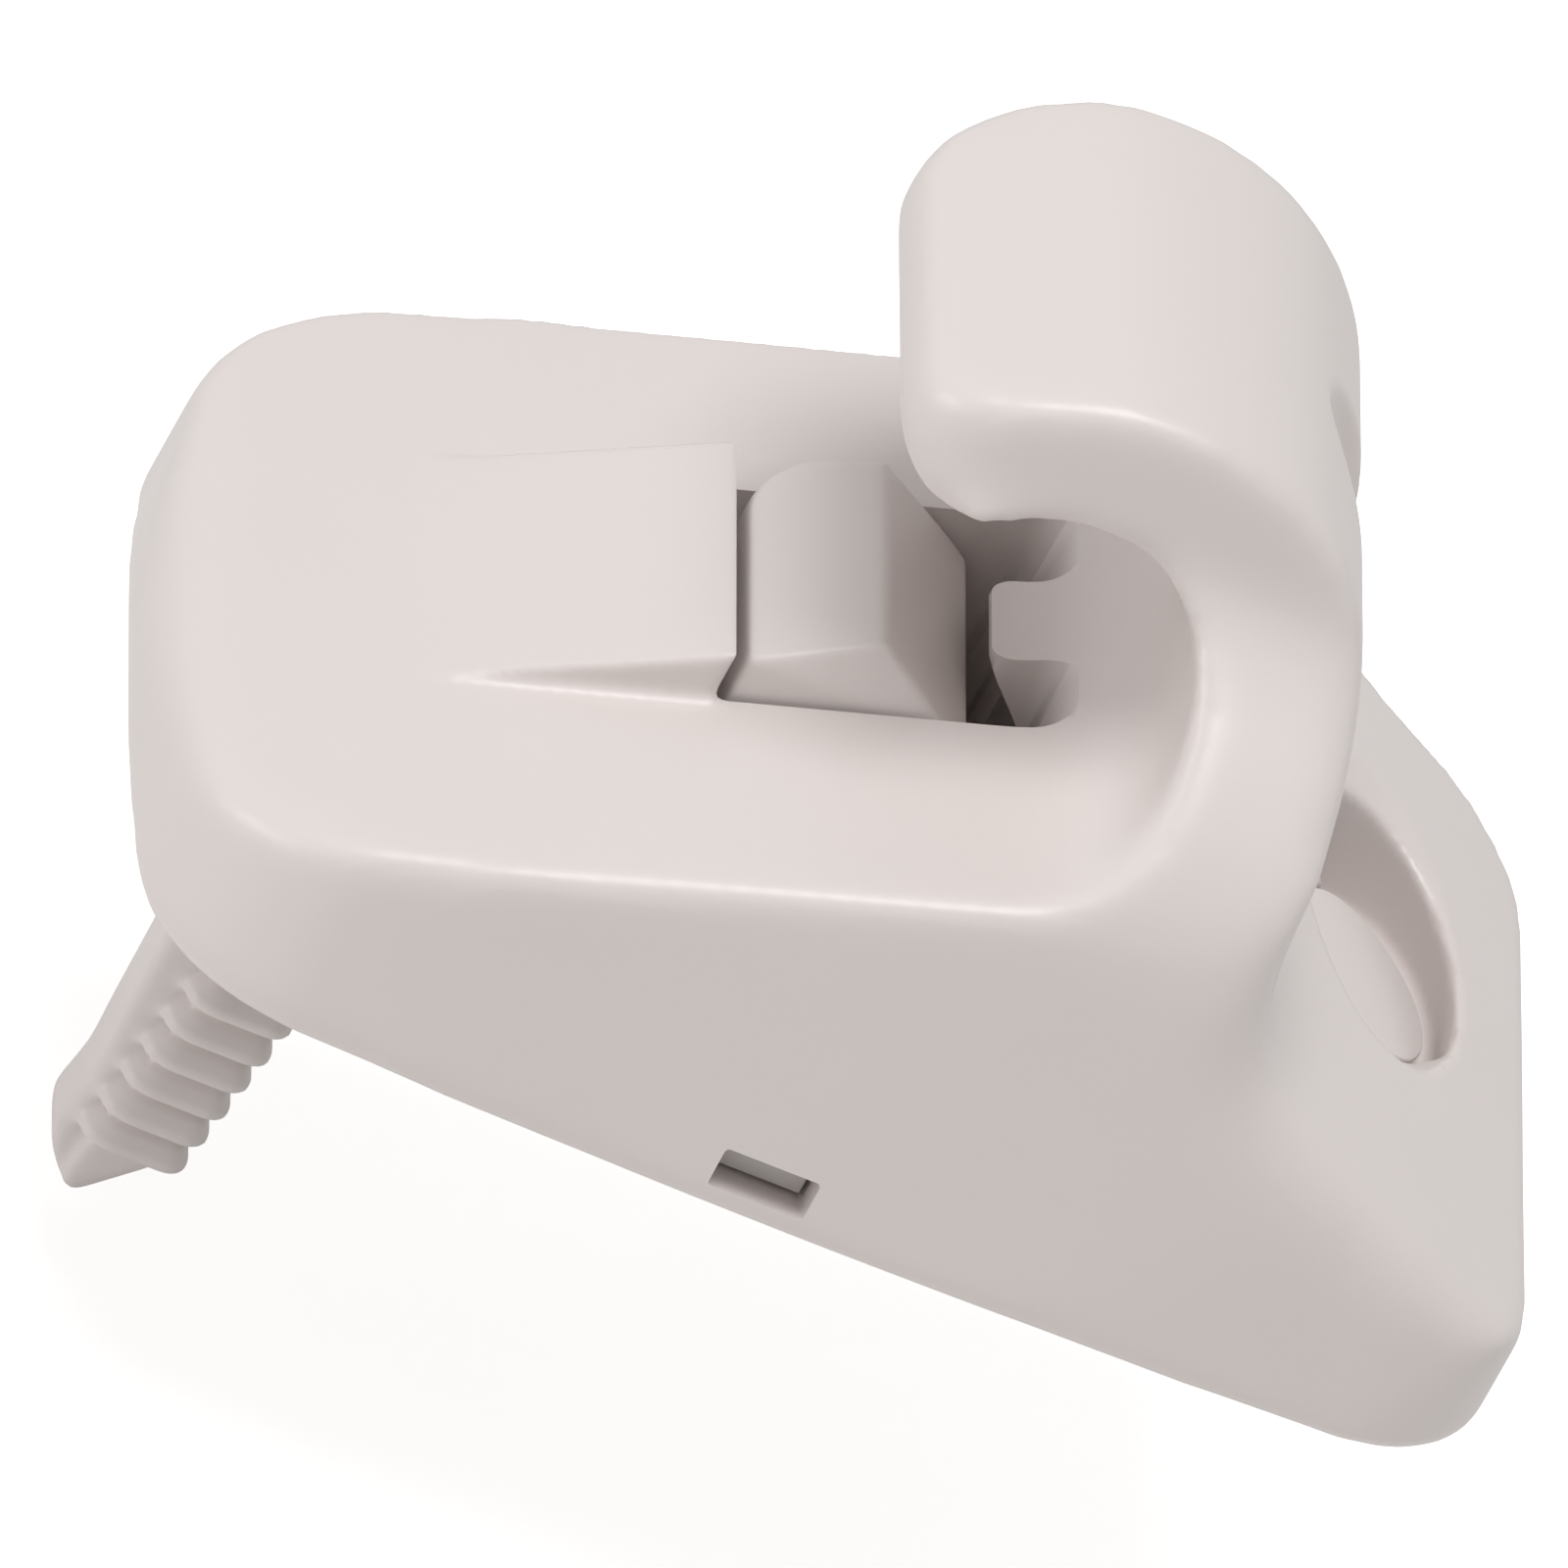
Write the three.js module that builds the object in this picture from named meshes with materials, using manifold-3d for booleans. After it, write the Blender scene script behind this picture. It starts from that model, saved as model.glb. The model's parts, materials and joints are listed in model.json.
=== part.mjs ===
// Stair gate latch: a J-shaped catch for the gate's bar, with a sprung wedge that snaps up behind the bar.
// Millimetres. X runs along the base towards the foot, Y across it, and Z out of the mounting face.
// The origin is the centre of the mounting face. Lengths along X count from the left end of the housing.
import * as THREE from "three";
import { mergeVertices } from "three/addons/utils/BufferGeometryUtils.js";
import Module from "manifold-3d";

const wasm = await Module();
wasm.setup();

const DEG = Math.PI / 180;

// ---- driving dimensions ----

// Housing base and walls
const bodyLength = 103.6; // along X
const bodyWidth = 70.4; // across Y at the mounting face
const bodyWaist = 68; // across Y at the shoulder
const sideBow = 1.2; // how far the sides bow out between the corners
const endBow = 1.8; // and the left end
const leftCorner = 14; // plan radius at the left end
const rightCorner = 12; // plan radius at the foot
const wall = 2.8; // moulded wall
const shoulderHeight = 27; // below this the sides are nearly upright

// Channel for the gate's bar
const channelMid = 1.8; // Y of the channel's centre plane
const channelRadius = 10.75; // half of the bar's gap
const channelEnd = 51.4; // X of the centre of the round end
const floorAngle = 18.9; // slope of the floor
const floorLeft = 11.4; // floor height at the left end
const endRadius = 5.2; // upper rounding of the left end
const endUnder = 7; // its lower rounding

// Hook
const armWidth = 38; // across Y
const armShift = 0.9; // Y of the arm's centre past the channel's
const backRadius = 21; // outer curve
const backShift = 1.8; // X of its centre past the channel's
const backDrop = 0.75; // and below it
const backSweep = 104; // degrees of the outer curve, from +X
const hookReach = 5.8; // length of the straight underside before the tip
const tipRadius = 4.7;
const tipStart = 144; // angle at which the outer curve runs into the tip
const armFlare = 1; // how far the arm's sides start to spread below it

// Foot
const footAngle = 28; // slope of its top
const footEdge = 8.6; // height of its outer edge
const neckFillet = 6;
const recessRadius = 7.2;
const recessShift = 0.2; // X of the cap that shows, past the foot's middle
const recessSide = 1.7; // Y of the cap past the channel's centre plane
const recessTilt = 27; // lean of the recess from Z towards +X
const recessDepth = 2.9; // from the foot's top to the cap
const recessReach = 12; // of its cutter above the cap
const mouthLength = 32.4; // of the recess's flared mouth, across Y
const mouthWidth = 18.2;
const mouthShift = 3; // Y of the mouth's centre past the recess's
const mouthBack = 1.6; // and how far it lies towards the neck
const reliefRadius = 6.9; // of the driver's relief on the hook's back
const reliefLean = 0.36; // X per Z of its axis, towards the neck

// Lead-in ramp and pocket
const rampStart = 17;
const rampWidth = 26.6;
const rampHeight = 4.2; // above the floor at its tall end
const pocketStart = 35.2;
const pocketEnd = 58.5;
const pocketWidth = 26;
const fingerWidth = 9.6;
const fingerReach = 5.2;
const fingerTip = 1.2; // depth of its blunt end

// Side slots with the snap tabs in them
const slotStart = 44.9;
const slotLength = 7.1;
const slotBottom = 2;
const slotHeight = 3.2;

// Wall plate
const plateThickness = 3;
const plateStart = 26;
const plateGap = 0.3; // to the housing all round
const tabThickness = 1.6;
const tabGap = 0.4; // to the slot's edges
const tabNose = 1.6; // how far its nose stands past it
const plateCorner = 2;
const wallHoleInset = 11.2; // from the plate's left end and its sides
const wallHoleRadius = 2.3;
const wallHoleHead = 4.4;
const spigotHeight = 3;

// Pivot
const pivotX = 16;
const pivotZ = 8;
const pinRadius = 1.5;
const pinPlay = 0.1;
const ribThickness = 2;
const saddleWidth = 6; // along Y
const saddleLength = 15; // along X
const saddleBottom = 5;
const strapThickness = 2;
const strapCorner = 2;
const strapScrewPitch = 10.4;

// Latch lever
const leverPlay = 0.5; // to each side of the pocket
const hubRadius = 4.5;
const armThickness = 3.2;
const wedgeStart = 36.2;
const wedgeEnd = 53.3;
const ridgeX = 44.5;
const ridgeRise = 5; // ridge above the floor
const wedgeLeftDrop = 4.4; // from the ridge to the left edge
const wedgeRightDrop = 5.8; // from the ridge to the right edge
const hipInset = 1.6; // lean of the wedge's near and far ends
const wedgeBottom = 13;
const handleWidth = 7.6; // across Y
const handleThickness = 6.2; // along X
const handleLean = 8; // of the ribbed blade, towards -X at its end
const handleShift = 3.2; // X of its middle past the pivot, at the mounting face
const handleEnd = -29; // where the ribbed blade ends
const handleTip = -33; // end of the fin's point
const ribCount = 9;
const ribPitch = 2.61;
const ribTop = -5.9;
const ribProud = 1.1; // past the blade at its near, left and right sides
const ribCorner = { left: 3, right: 2 };
const finLeft = 5.6; // X of the fin's left edge before the pivot
const finInset = 2.6; // behind the blade's near face
const finRise = 3; // of the fin's point, back up to its left edge

// Spring, screws and cap
const springRadius = 3.6; // to the wire's centre
const springWire = 0.45;
const springTurns = 5.5;
const springX = 45.5;
const springSeat = 3; // depth of the seat in the wedge
const springPlay = 0.75; // round the spring in its seat
const strapScrew = { head: 2.2, height: 1.5, shank: 1.05, length: 7, drive: 0.9 };
const footScrewHead = { head: 3.6, height: 2.4, shank: 1.75, drive: 1.4 };
const footScrewTip = 1.6; // height of its point above the mounting face
const capThickness = 1.4;
const capSkirt = 1.2; // thickness of its skirt
const fit = 0.3; // gap between pieces that rest on each other in a turned seat
const over = 1; // how far a cutter runs past what it cuts

// ---- derived places ----

const slope = Math.tan(floorAngle * DEG);
const along = new THREE.Vector2(Math.cos(floorAngle * DEG), Math.sin(floorAngle * DEG));
const floorAt = (x) => floorLeft + slope * x;
const channelCentre = new THREE.Vector2(channelEnd, floorAt(channelEnd) + channelRadius / along.x);
const backCentre = new THREE.Vector2(channelEnd + backShift, channelCentre.y - backDrop);
const neckX = backCentre.x + backRadius;
const bodyHeight = backCentre.y + backRadius;
const footSlope = Math.tan(footAngle * DEG);
const footAt = (x) => footEdge + footSlope * (bodyLength - x);
const armMid = channelMid + armShift;
const ceilingAt = (x) => floorAt(x) - wall / along.x;
const ribInner = pocketWidth / 2; // from the channel's centre plane to the rib
const recessAxis = new THREE.Vector3(Math.sin(recessTilt * DEG), 0, Math.cos(recessTilt * DEG));
const recessX = (neckX + bodyLength) / 2 + recessShift;
const capTop = new THREE.Vector3(
  recessX,
  channelMid + recessSide,
  footAt(recessX) - recessDepth / recessAxis.z,
);
const footScrewSeat = capTop.clone().addScaledVector(recessAxis, -capThickness - footScrewHead.height);
const footScrew = { ...footScrewHead, length: (footScrewSeat.z - footScrewTip) / recessAxis.z };

// ---- solids ----

// A closed three.js geometry as a manifold-3d solid.
function solid(geometry) {
  const g = geometry.clone();
  g.deleteAttribute("normal");
  g.deleteAttribute("uv");
  const merged = mergeVertices(g, 1e-4);
  const triVerts = new Uint32Array(merged.index.array);
  const vertProperties = new Float32Array(merged.attributes.position.array);
  return new wasm.Manifold(new wasm.Mesh({ numProp: 3, vertProperties, triVerts }));
}

// A manifold-3d solid as a three.js geometry.
function geometryOf(made) {
  const { vertProperties, triVerts } = made.getMesh();
  const g = new THREE.BufferGeometry();
  g.setAttribute("position", new THREE.BufferAttribute(vertProperties, 3));
  g.setIndex(new THREE.BufferAttribute(triVerts, 1));
  g.computeVertexNormals();
  return g;
}

const AXES = {
  x: new THREE.Matrix4().makeBasis(
    new THREE.Vector3(0, 1, 0),
    new THREE.Vector3(0, 0, 1),
    new THREE.Vector3(1, 0, 0),
  ),
  y: new THREE.Matrix4().makeRotationX(Math.PI / 2),
  z: new THREE.Matrix4(),
};

// A shape extruded between two levels: along x it lies in YZ, along y in XZ, along z in XY.
function extrude(shape, axis, from, to, curveSegments = 12) {
  const g = new THREE.ExtrudeGeometry(shape, { depth: to - from, bevelEnabled: false, curveSegments });
  g.translate(0, 0, axis === "y" ? -to : from);
  return solid(g.applyMatrix4(AXES[axis]));
}

function polygon(points) {
  return new THREE.Shape(points.map(([x, y]) => new THREE.Vector2(x, y)));
}

function box(x0, x1, y0, y1, z0, z1) {
  const g = new THREE.BoxGeometry(x1 - x0, y1 - y0, z1 - z0);
  return solid(g.translate((x0 + x1) / 2, (y0 + y1) / 2, (z0 + z1) / 2));
}

// A round bar from a base point along an axis.
function rod(radius, length, base, axis, sides = 24, endRadius = radius) {
  const g = new THREE.CylinderGeometry(endRadius, radius, length, sides);
  g.translate(0, length / 2, 0);
  const turn = new THREE.Quaternion().setFromUnitVectors(new THREE.Vector3(0, 1, 0), axis);
  return solid(g.applyQuaternion(turn).translate(base.x, base.y, base.z));
}

// A piece turned about an axis: its profile is pairs of radius and height above the base point.
function turned(profile, base, axis, sides) {
  const g = new THREE.LatheGeometry(profile.map(([r, h]) => new THREE.Vector2(r, h)), sides);
  const turn = new THREE.Quaternion().setFromUnitVectors(new THREE.Vector3(0, 1, 0), axis);
  return solid(g.applyQuaternion(turn).translate(base.x, base.y, base.z));
}

const UP = new THREE.Vector3(0, 0, 1);
const ACROSS = new THREE.Vector3(0, 1, 0);

// A rectangle with its own radius at the left corners and at the right ones.
function roundedPlan(x0, x1, y0, y1, left, right) {
  const s = new THREE.Shape();
  s.moveTo(x0 + left, y0);
  s.lineTo(x1 - right, y0);
  s.absarc(x1 - right, y0 + right, right, -Math.PI / 2, 0);
  s.lineTo(x1, y1 - right);
  s.absarc(x1 - right, y1 - right, right, 0, Math.PI / 2);
  s.lineTo(x0 + left, y1);
  s.absarc(x0 + left, y1 - left, left, Math.PI / 2, Math.PI);
  s.lineTo(x0, y0 + left);
  s.absarc(x0 + left, y0 + left, left, Math.PI, 1.5 * Math.PI);
  return s;
}

// ---- housing ----

// The J from the side: base, foot, neck, hook, round channel end and sloped floor.
function hookOutline() {
  const s = new THREE.Shape();
  const down = -Math.PI / 2 + floorAngle * DEG;
  const tip = new THREE.Vector2()
    .copy(channelCentre)
    .addScaledVector(along, -hookReach)
    .add(new THREE.Vector2(-along.y, along.x).multiplyScalar(channelRadius + tipRadius));
  const neckFoot = footAt(neckX + neckFillet);
  s.moveTo(endUnder, 0);
  s.lineTo(bodyLength, 0);
  s.lineTo(bodyLength, footEdge);
  s.lineTo(neckX + neckFillet, neckFoot);
  s.quadraticCurveTo(neckX, footAt(neckX), neckX, neckFoot + 2 * neckFillet);
  s.lineTo(neckX, backCentre.y);
  s.absarc(backCentre.x, backCentre.y, backRadius, 0, backSweep * DEG);
  s.absarc(tip.x, tip.y, tipRadius, tipStart * DEG, down + 2 * Math.PI);
  s.absarc(channelCentre.x, channelCentre.y, channelRadius, down + Math.PI, down, true);
  s.lineTo(endRadius, floorAt(endRadius));
  s.quadraticCurveTo(0, floorLeft, 0, endUnder);
  s.quadraticCurveTo(0, 0, endUnder, 0);
  return s;
}

// Across the housing: nearly upright to the shoulder, then drawn in to the arm's width.
function sideOutline() {
  const half = bodyWidth / 2;
  const waist = bodyWaist / 2;
  const near = armMid - armWidth / 2;
  const far = armMid + armWidth / 2;
  const armHeight = channelCentre.y + channelRadius;
  const bend = (armHeight - shoulderHeight) / 2;
  const top = bodyHeight + over;
  const s = new THREE.Shape();
  s.moveTo(-half, -over);
  s.lineTo(half, -over);
  s.lineTo(waist, shoulderHeight);
  s.bezierCurveTo(waist, shoulderHeight + bend, far + armFlare, armHeight - bend / 2, far, armHeight);
  s.lineTo(far, top);
  s.lineTo(near, top);
  s.lineTo(near, armHeight);
  const nearBend = [near - armFlare, armHeight - bend / 2, -waist, shoulderHeight + bend];
  s.bezierCurveTo(...nearBend, -waist, shoulderHeight);
  s.lineTo(-half, -over);
  return s;
}

// The raised ramp that leads the bar over the wedge.
function ramp() {
  const end = pocketStart;
  const top = floorAt(end) + rampHeight;
  const outline = polygon([
    [rampStart, floorAt(rampStart) - over],
    [end, floorAt(end) - over],
    [end, top],
    [rampStart, floorAt(rampStart)],
  ]);
  return extrude(outline, "y", channelMid - rampWidth / 2, channelMid + rampWidth / 2);
}

// The body from above, with bowed sides and left end.
function bodyPlan() {
  const half = Math.max(bodyWidth, bodyWaist) / 2;
  const side = half - sideBow;
  const left = endBow + leftCorner;
  const right = bodyLength - rightCorner;
  const s = new THREE.Shape();
  s.moveTo(left, -side);
  s.quadraticCurveTo((left + right) / 2, -side - 2 * sideBow, right, -side);
  s.absarc(right, -side + rightCorner, rightCorner, -Math.PI / 2, 0);
  s.lineTo(bodyLength, side - rightCorner);
  s.absarc(right, side - rightCorner, rightCorner, 0, Math.PI / 2);
  s.quadraticCurveTo((left + right) / 2, side + 2 * sideBow, left, side);
  s.absarc(left, side - leftCorner, leftCorner, Math.PI / 2, Math.PI);
  s.quadraticCurveTo(-endBow, 0, endBow, -side + leftCorner);
  s.absarc(left, -side + leftCorner, leftCorner, Math.PI, 1.5 * Math.PI);
  return s;
}

// The hollow under the floor and in the foot.
function hollow() {
  const start = endBow + wall;
  const roof = footEdge - wall;
  const neckRoof = ceilingAt(pocketEnd);
  const outline = polygon([
    [start, endUnder],
    [endUnder + over, -over],
    [bodyLength - wall, -over],
    [bodyLength - wall, roof],
    [neckX, roof],
    [neckX - wall, neckRoof],
    [pocketEnd, neckRoof],
    [start, ceilingAt(start)],
  ]);
  const inner = bodyWaist / 2 - wall;
  const plan = roundedPlan(
    start,
    bodyLength - wall,
    -inner,
    inner,
    leftCorner - wall,
    rightCorner - wall,
  );
  return extrude(outline, "y", -inner, inner).intersect(extrude(plan, "z", -over, bodyHeight));
}

// Two ribs that wall the pocket's sides down to the wall plate, with a cross wall at its right end.
function pocketRibs() {
  const end = pocketEnd + ribThickness;
  const outline = polygon([
    [pivotX - saddleLength / 2, plateThickness],
    [end, plateThickness],
    [end, floorAt(end) - over],
    [pivotX - saddleLength / 2, floorAt(pivotX - saddleLength / 2) - over],
  ]);
  const outer = ribInner + ribThickness;
  const both = extrude(outline, "y", channelMid - outer, channelMid + outer);
  const between = box(
    0,
    pocketEnd,
    channelMid - ribInner,
    channelMid + ribInner,
    -over,
    bodyHeight,
  );
  const clear = box(0, plateStart, -bodyWidth, bodyWidth, -over, saddleBottom);
  return both.subtract(between).subtract(clear);
}

// The blocks that carry the pivot pin, one beyond each rib.
function saddles() {
  const x0 = pivotX - saddleLength / 2;
  const top = floorAt(x0) - over;
  const inner = ribInner;
  const outer = ribInner + saddleWidth;
  const near = box(x0, x0 + saddleLength, channelMid - outer, channelMid - inner, saddleBottom, top);
  const far = box(x0, x0 + saddleLength, channelMid + inner, channelMid + outer, saddleBottom, top);
  return near.add(far);
}

// What the saddles lose: the pin's open slot and the strap screws' holes.
function saddleCuts() {
  const reach = ribInner + saddleWidth + fit;
  const r = pinRadius + pinPlay;
  const base = new THREE.Vector3(pivotX, channelMid - reach, pivotZ);
  let cut = rod(r, 2 * reach, base, ACROSS);
  cut = cut.add(box(pivotX - r, pivotX + r, base.y, channelMid + reach, -over, pivotZ));
  for (const [x, y] of strapScrewPlaces()) {
    const hole = new THREE.Vector3(x, y, 0);
    cut = cut.add(rod(strapScrew.shank + fit, saddleBottom + strapScrew.length, hole, UP, 16));
  }
  return cut;
}

function strapScrewPlaces() {
  const y = ribInner + saddleWidth / 2;
  const x = strapScrewPitch / 2;
  return [
    [pivotX - x, channelMid - y],
    [pivotX + x, channelMid - y],
    [pivotX - x, channelMid + y],
    [pivotX + x, channelMid + y],
  ];
}

// The pocket in the floor that the wedge stands up through.
function pocket() {
  return box(
    pocketStart,
    pocketEnd,
    channelMid - pocketWidth / 2,
    channelMid + pocketWidth / 2,
    wedgeBottom,
    channelCentre.y,
  );
}

// The bracket that reaches back into the pocket from its right wall.
function finger() {
  const tip = pocketEnd - fingerReach;
  const top = floorAt(tip);
  const outline = polygon([
    [tip, top - fingerTip],
    [pocketEnd + ribThickness, top - fingerTip - fingerReach - ribThickness],
    [pocketEnd + ribThickness, floorAt(pocketEnd)],
    [tip, top],
  ]);
  return extrude(outline, "y", channelMid - fingerWidth / 2, channelMid + fingerWidth / 2);
}

// The round recess in the foot, with the cap's seat and the screw's hole below it.
function recess() {
  const seat = capTop.clone().addScaledVector(recessAxis, -capThickness - footScrew.height - fit);
  const height = capThickness + footScrew.height + recessDepth + recessReach;
  const hole = capTop.clone().addScaledVector(recessAxis, -bodyHeight);
  return rod(recessRadius, height, seat, recessAxis, 40)
    .add(rod(footScrew.shank + fit, bodyHeight, hole, recessAxis, 20))
    .add(recessMouth());
}

// The oval flare between the cap and the foot's top, drawn out towards the far side and the neck.
function recessMouth() {
  const g = new THREE.CylinderGeometry(recessRadius, recessRadius, 2 * recessDepth, 40);
  g.translate(0, recessDepth, 0);
  const turn = new THREE.Quaternion().setFromUnitVectors(ACROSS, UP);
  g.applyQuaternion(turn);
  const place = g.getAttribute("position");
  const wide = mouthWidth / (2 * recessRadius) - 1;
  const long = mouthLength / (2 * recessRadius) - 1;
  for (let i = 0; i < place.count; i++) {
    const t = place.getZ(i) / recessDepth;
    const x = place.getX(i) * (1 + wide * t) - mouthBack * t;
    const y = place.getY(i) * (1 + long * t) + mouthShift * t;
    place.setXY(i, x, y);
  }
  g.applyMatrix4(new THREE.Matrix4().makeRotationY(recessTilt * DEG));
  return solid(g.translate(capTop.x, capTop.y, capTop.z));
}

// The solid round boss under the recess, down to the wall plate.
function recessBoss() {
  const base = capTop.clone().addScaledVector(recessAxis, -2 * bodyHeight);
  const round = rod(recessRadius + wall, 2 * bodyHeight, base, recessAxis, 40);
  const level = box(neckX, bodyLength - wall, -bodyWidth, bodyWidth, plateThickness, footAt(recessX));
  return round.intersect(level);
}

// The round relief on the hook's back, in line with the recess, that lets a driver past.
function driverRelief() {
  const lean = new THREE.Vector3(-reliefLean, 0, 1).normalize();
  const base = new THREE.Vector3(recessX, channelMid, capTop.z).addScaledVector(lean, recessReach);
  return rod(reliefRadius, bodyHeight, base, lean, 40);
}

function sideSlots() {
  const slot = (from, to) =>
    box(slotStart, slotStart + slotLength, from, to, slotBottom, slotBottom + slotHeight);
  const inner = bodyWaist / 2 - wall - over;
  return slot(-bodyWidth, -inner).add(slot(inner, bodyWidth));
}

function housing() {
  const half = Math.max(bodyWidth, bodyWaist) / 2;
  const shell = extrude(hookOutline(), "y", -half, half, 20)
    .intersect(extrude(sideOutline(), "x", -over, bodyLength + over, 10))
    .intersect(extrude(bodyPlan(), "z", -over, bodyHeight + over));
  const inside = hollow().subtract(pocketRibs()).subtract(saddles()).subtract(recessBoss());
  return shell
    .add(ramp())
    .subtract(inside)
    .subtract(pocket())
    .add(finger())
    .subtract(saddleCuts())
    .subtract(recess())
    .subtract(driverRelief())
    .subtract(sideSlots());
}

// ---- latch lever ----

// The lever from the side: hub, arm under the floor and wedge in the pocket.
function leverOutline() {
  const ridge = floorAt(ridgeX) + ridgeRise;
  const under = fit / along.x;
  return polygon([
    [pivotX, pivotZ - hubRadius],
    [wedgeStart, wedgeBottom - armThickness / 2],
    [wedgeStart, wedgeBottom],
    [wedgeEnd, wedgeBottom],
    [wedgeEnd, ridge - wedgeRightDrop],
    [ridgeX, ridge],
    [wedgeStart, ridge - wedgeLeftDrop],
    [wedgeStart, ceilingAt(pocketStart) - under],
    [pocketStart, ceilingAt(pocketStart) - under],
    [pivotX + hubRadius, ceilingAt(pivotX + hubRadius) - under],
    [pivotX, pivotZ + hubRadius],
  ]);
}

// The wedge's ends lean in towards the ridge.
function leverSides() {
  const half = pocketWidth / 2 - leverPlay;
  const ridge = floorAt(ridgeX) + ridgeRise;
  const eave = ridge - wedgeLeftDrop;
  return polygon([
    [channelMid - half, -over],
    [channelMid + half, -over],
    [channelMid + half, eave],
    [channelMid + half - hipInset, ridge + over],
    [channelMid - half + hipInset, ridge + over],
    [channelMid - half, eave],
  ]);
}

// The thumb handle: a leaning blade with raised ribs round it, and a plain fin on its left.
function handle() {
  const lean = Math.tan(handleLean * DEG);
  const midAt = (z) => pivotX + handleShift + lean * z;
  const half = handleThickness / 2;
  const y0 = channelMid - pocketWidth / 2 + leverPlay + ribProud;
  const y1 = y0 + handleWidth;
  const blade = polygon([
    [midAt(handleEnd) - half, handleTip],
    [midAt(handleEnd) + half, handleEnd],
    [midAt(pivotZ) + half, pivotZ],
    [midAt(pivotZ) - half, pivotZ],
  ]);
  const left = pivotX - finLeft;
  const fin = polygon([
    [left, handleTip + finRise],
    [midAt(handleEnd) - half, handleTip],
    [midAt(handleEnd) + half, handleEnd],
    [midAt(pivotZ), pivotZ - hubRadius],
    [left, pivotZ - hubRadius],
  ]);
  let made = extrude(blade, "y", y0, y1).add(extrude(fin, "y", y0 + finInset, y1));
  for (let i = 0; i < ribCount; i++) {
    const z = ribTop - i * ribPitch;
    const mid = midAt(z);
    const rim = roundedPlan(
      mid - half - ribProud,
      mid + half + ribProud,
      y0 - ribProud,
      y1 - ribProud,
      ribCorner.left,
      ribCorner.right,
    );
    made = made.add(extrude(rim, "z", z - ribPitch / 2, z, 4));
  }
  return made;
}

function latchLever() {
  const half = pocketWidth / 2 - leverPlay;
  const hubBase = new THREE.Vector3(pivotX, channelMid - half, pivotZ);
  const boreBase = new THREE.Vector3(pivotX, channelMid - half - over, pivotZ);
  const seatBase = new THREE.Vector3(springX, channelMid, wedgeBottom - over);
  return extrude(leverOutline(), "y", channelMid - half, channelMid + half)
    .intersect(extrude(leverSides(), "x", -over, bodyLength))
    .add(rod(hubRadius, 2 * half, hubBase, ACROSS, 32))
    .add(handle())
    .subtract(rod(pinRadius + pinPlay, 2 * (half + over), boreBase, ACROSS))
    .subtract(rod(springRadius + springWire + springPlay, springSeat + over, seatBase, UP));
}

// ---- wall plate ----

function snapTab(side) {
  const inner = bodyWaist / 2 - wall - plateGap;
  const x0 = slotStart + tabGap;
  const x1 = slotStart + slotLength - tabGap;
  const nose = side * (inner + tabNose);
  const root = side * (inner - tabThickness);
  const top = slotBottom + slotHeight - tabGap;
  const y = [root, side * inner, nose].sort((a, b) => a - b);
  const [low, high] = [root, side * inner].sort((a, b) => a - b);
  const post = box(x0, x1, low, high, plateThickness - over, top);
  return post.add(box(x0, x1, y[0], y[2], slotBottom + tabGap, top));
}

function wallHolePlaces() {
  const y = bodyWaist / 2 - wallHoleInset;
  const x = plateStart + wallHoleInset;
  return [
    [x, -y],
    [x, y],
    [neckX, -y],
    [neckX, y],
  ];
}

function wallPlate() {
  const inner = bodyWaist / 2 - wall - plateGap;
  const end = bodyLength - wall - plateGap;
  const corner = rightCorner - wall - plateGap;
  const plan = roundedPlan(plateStart, end, -inner, inner, plateCorner, corner);
  const spigot = new THREE.Vector3(springX, channelMid, plateThickness - over);
  const hole = capTop.clone().addScaledVector(recessAxis, -2 * bodyHeight);
  let plate = extrude(plan, "z", 0, plateThickness)
    .add(rod(springRadius - springWire - fit, spigotHeight + over, spigot, UP, 20))
    .add(snapTab(-1))
    .add(snapTab(1))
    .subtract(rod(footScrew.shank + fit, 4 * bodyHeight, hole, recessAxis, 20));
  for (const [x, y] of wallHolePlaces()) {
    const low = new THREE.Vector3(x, y, -over);
    const sink = new THREE.Vector3(x, y, plateThickness - wallHoleHead + wallHoleRadius);
    plate = plate.subtract(rod(wallHoleRadius, plateThickness + 2 * over, low, UP));
    plate = plate.subtract(
      rod(wallHoleRadius, wallHoleHead - wallHoleRadius + fit, sink, UP, 24, wallHoleHead + fit),
    );
  }
  return plate;
}

// ---- small pieces ----

function pivotPin() {
  const reach = ribInner + saddleWidth;
  return rod(pinRadius, 2 * reach, new THREE.Vector3(pivotX, channelMid - reach, pivotZ), ACROSS);
}

// A strap under one saddle, with a tongue that fills the pin's slot.
function pinStrap(side) {
  const mid = channelMid + side * (ribInner + saddleWidth / 2);
  const y0 = mid - saddleWidth / 2;
  const y1 = mid + saddleWidth / 2;
  const bottom = saddleBottom - strapThickness;
  const x0 = pivotX - saddleLength / 2;
  const tongue = pinRadius - fit / 2;
  const top = pivotZ - pinRadius - fit;
  const plan = roundedPlan(x0, x0 + saddleLength, y0, y1, strapCorner, strapCorner);
  let strap = extrude(plan, "z", bottom, saddleBottom, 4);
  strap = strap.add(box(pivotX - tongue, pivotX + tongue, y0, y1, saddleBottom - over, top));
  for (const [x, y] of strapScrewPlaces()) {
    const low = new THREE.Vector3(x, y, bottom - over);
    strap = strap.subtract(rod(strapScrew.shank + fit, strapThickness + 2 * over, low, UP, 16));
  }
  return strap;
}

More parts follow.
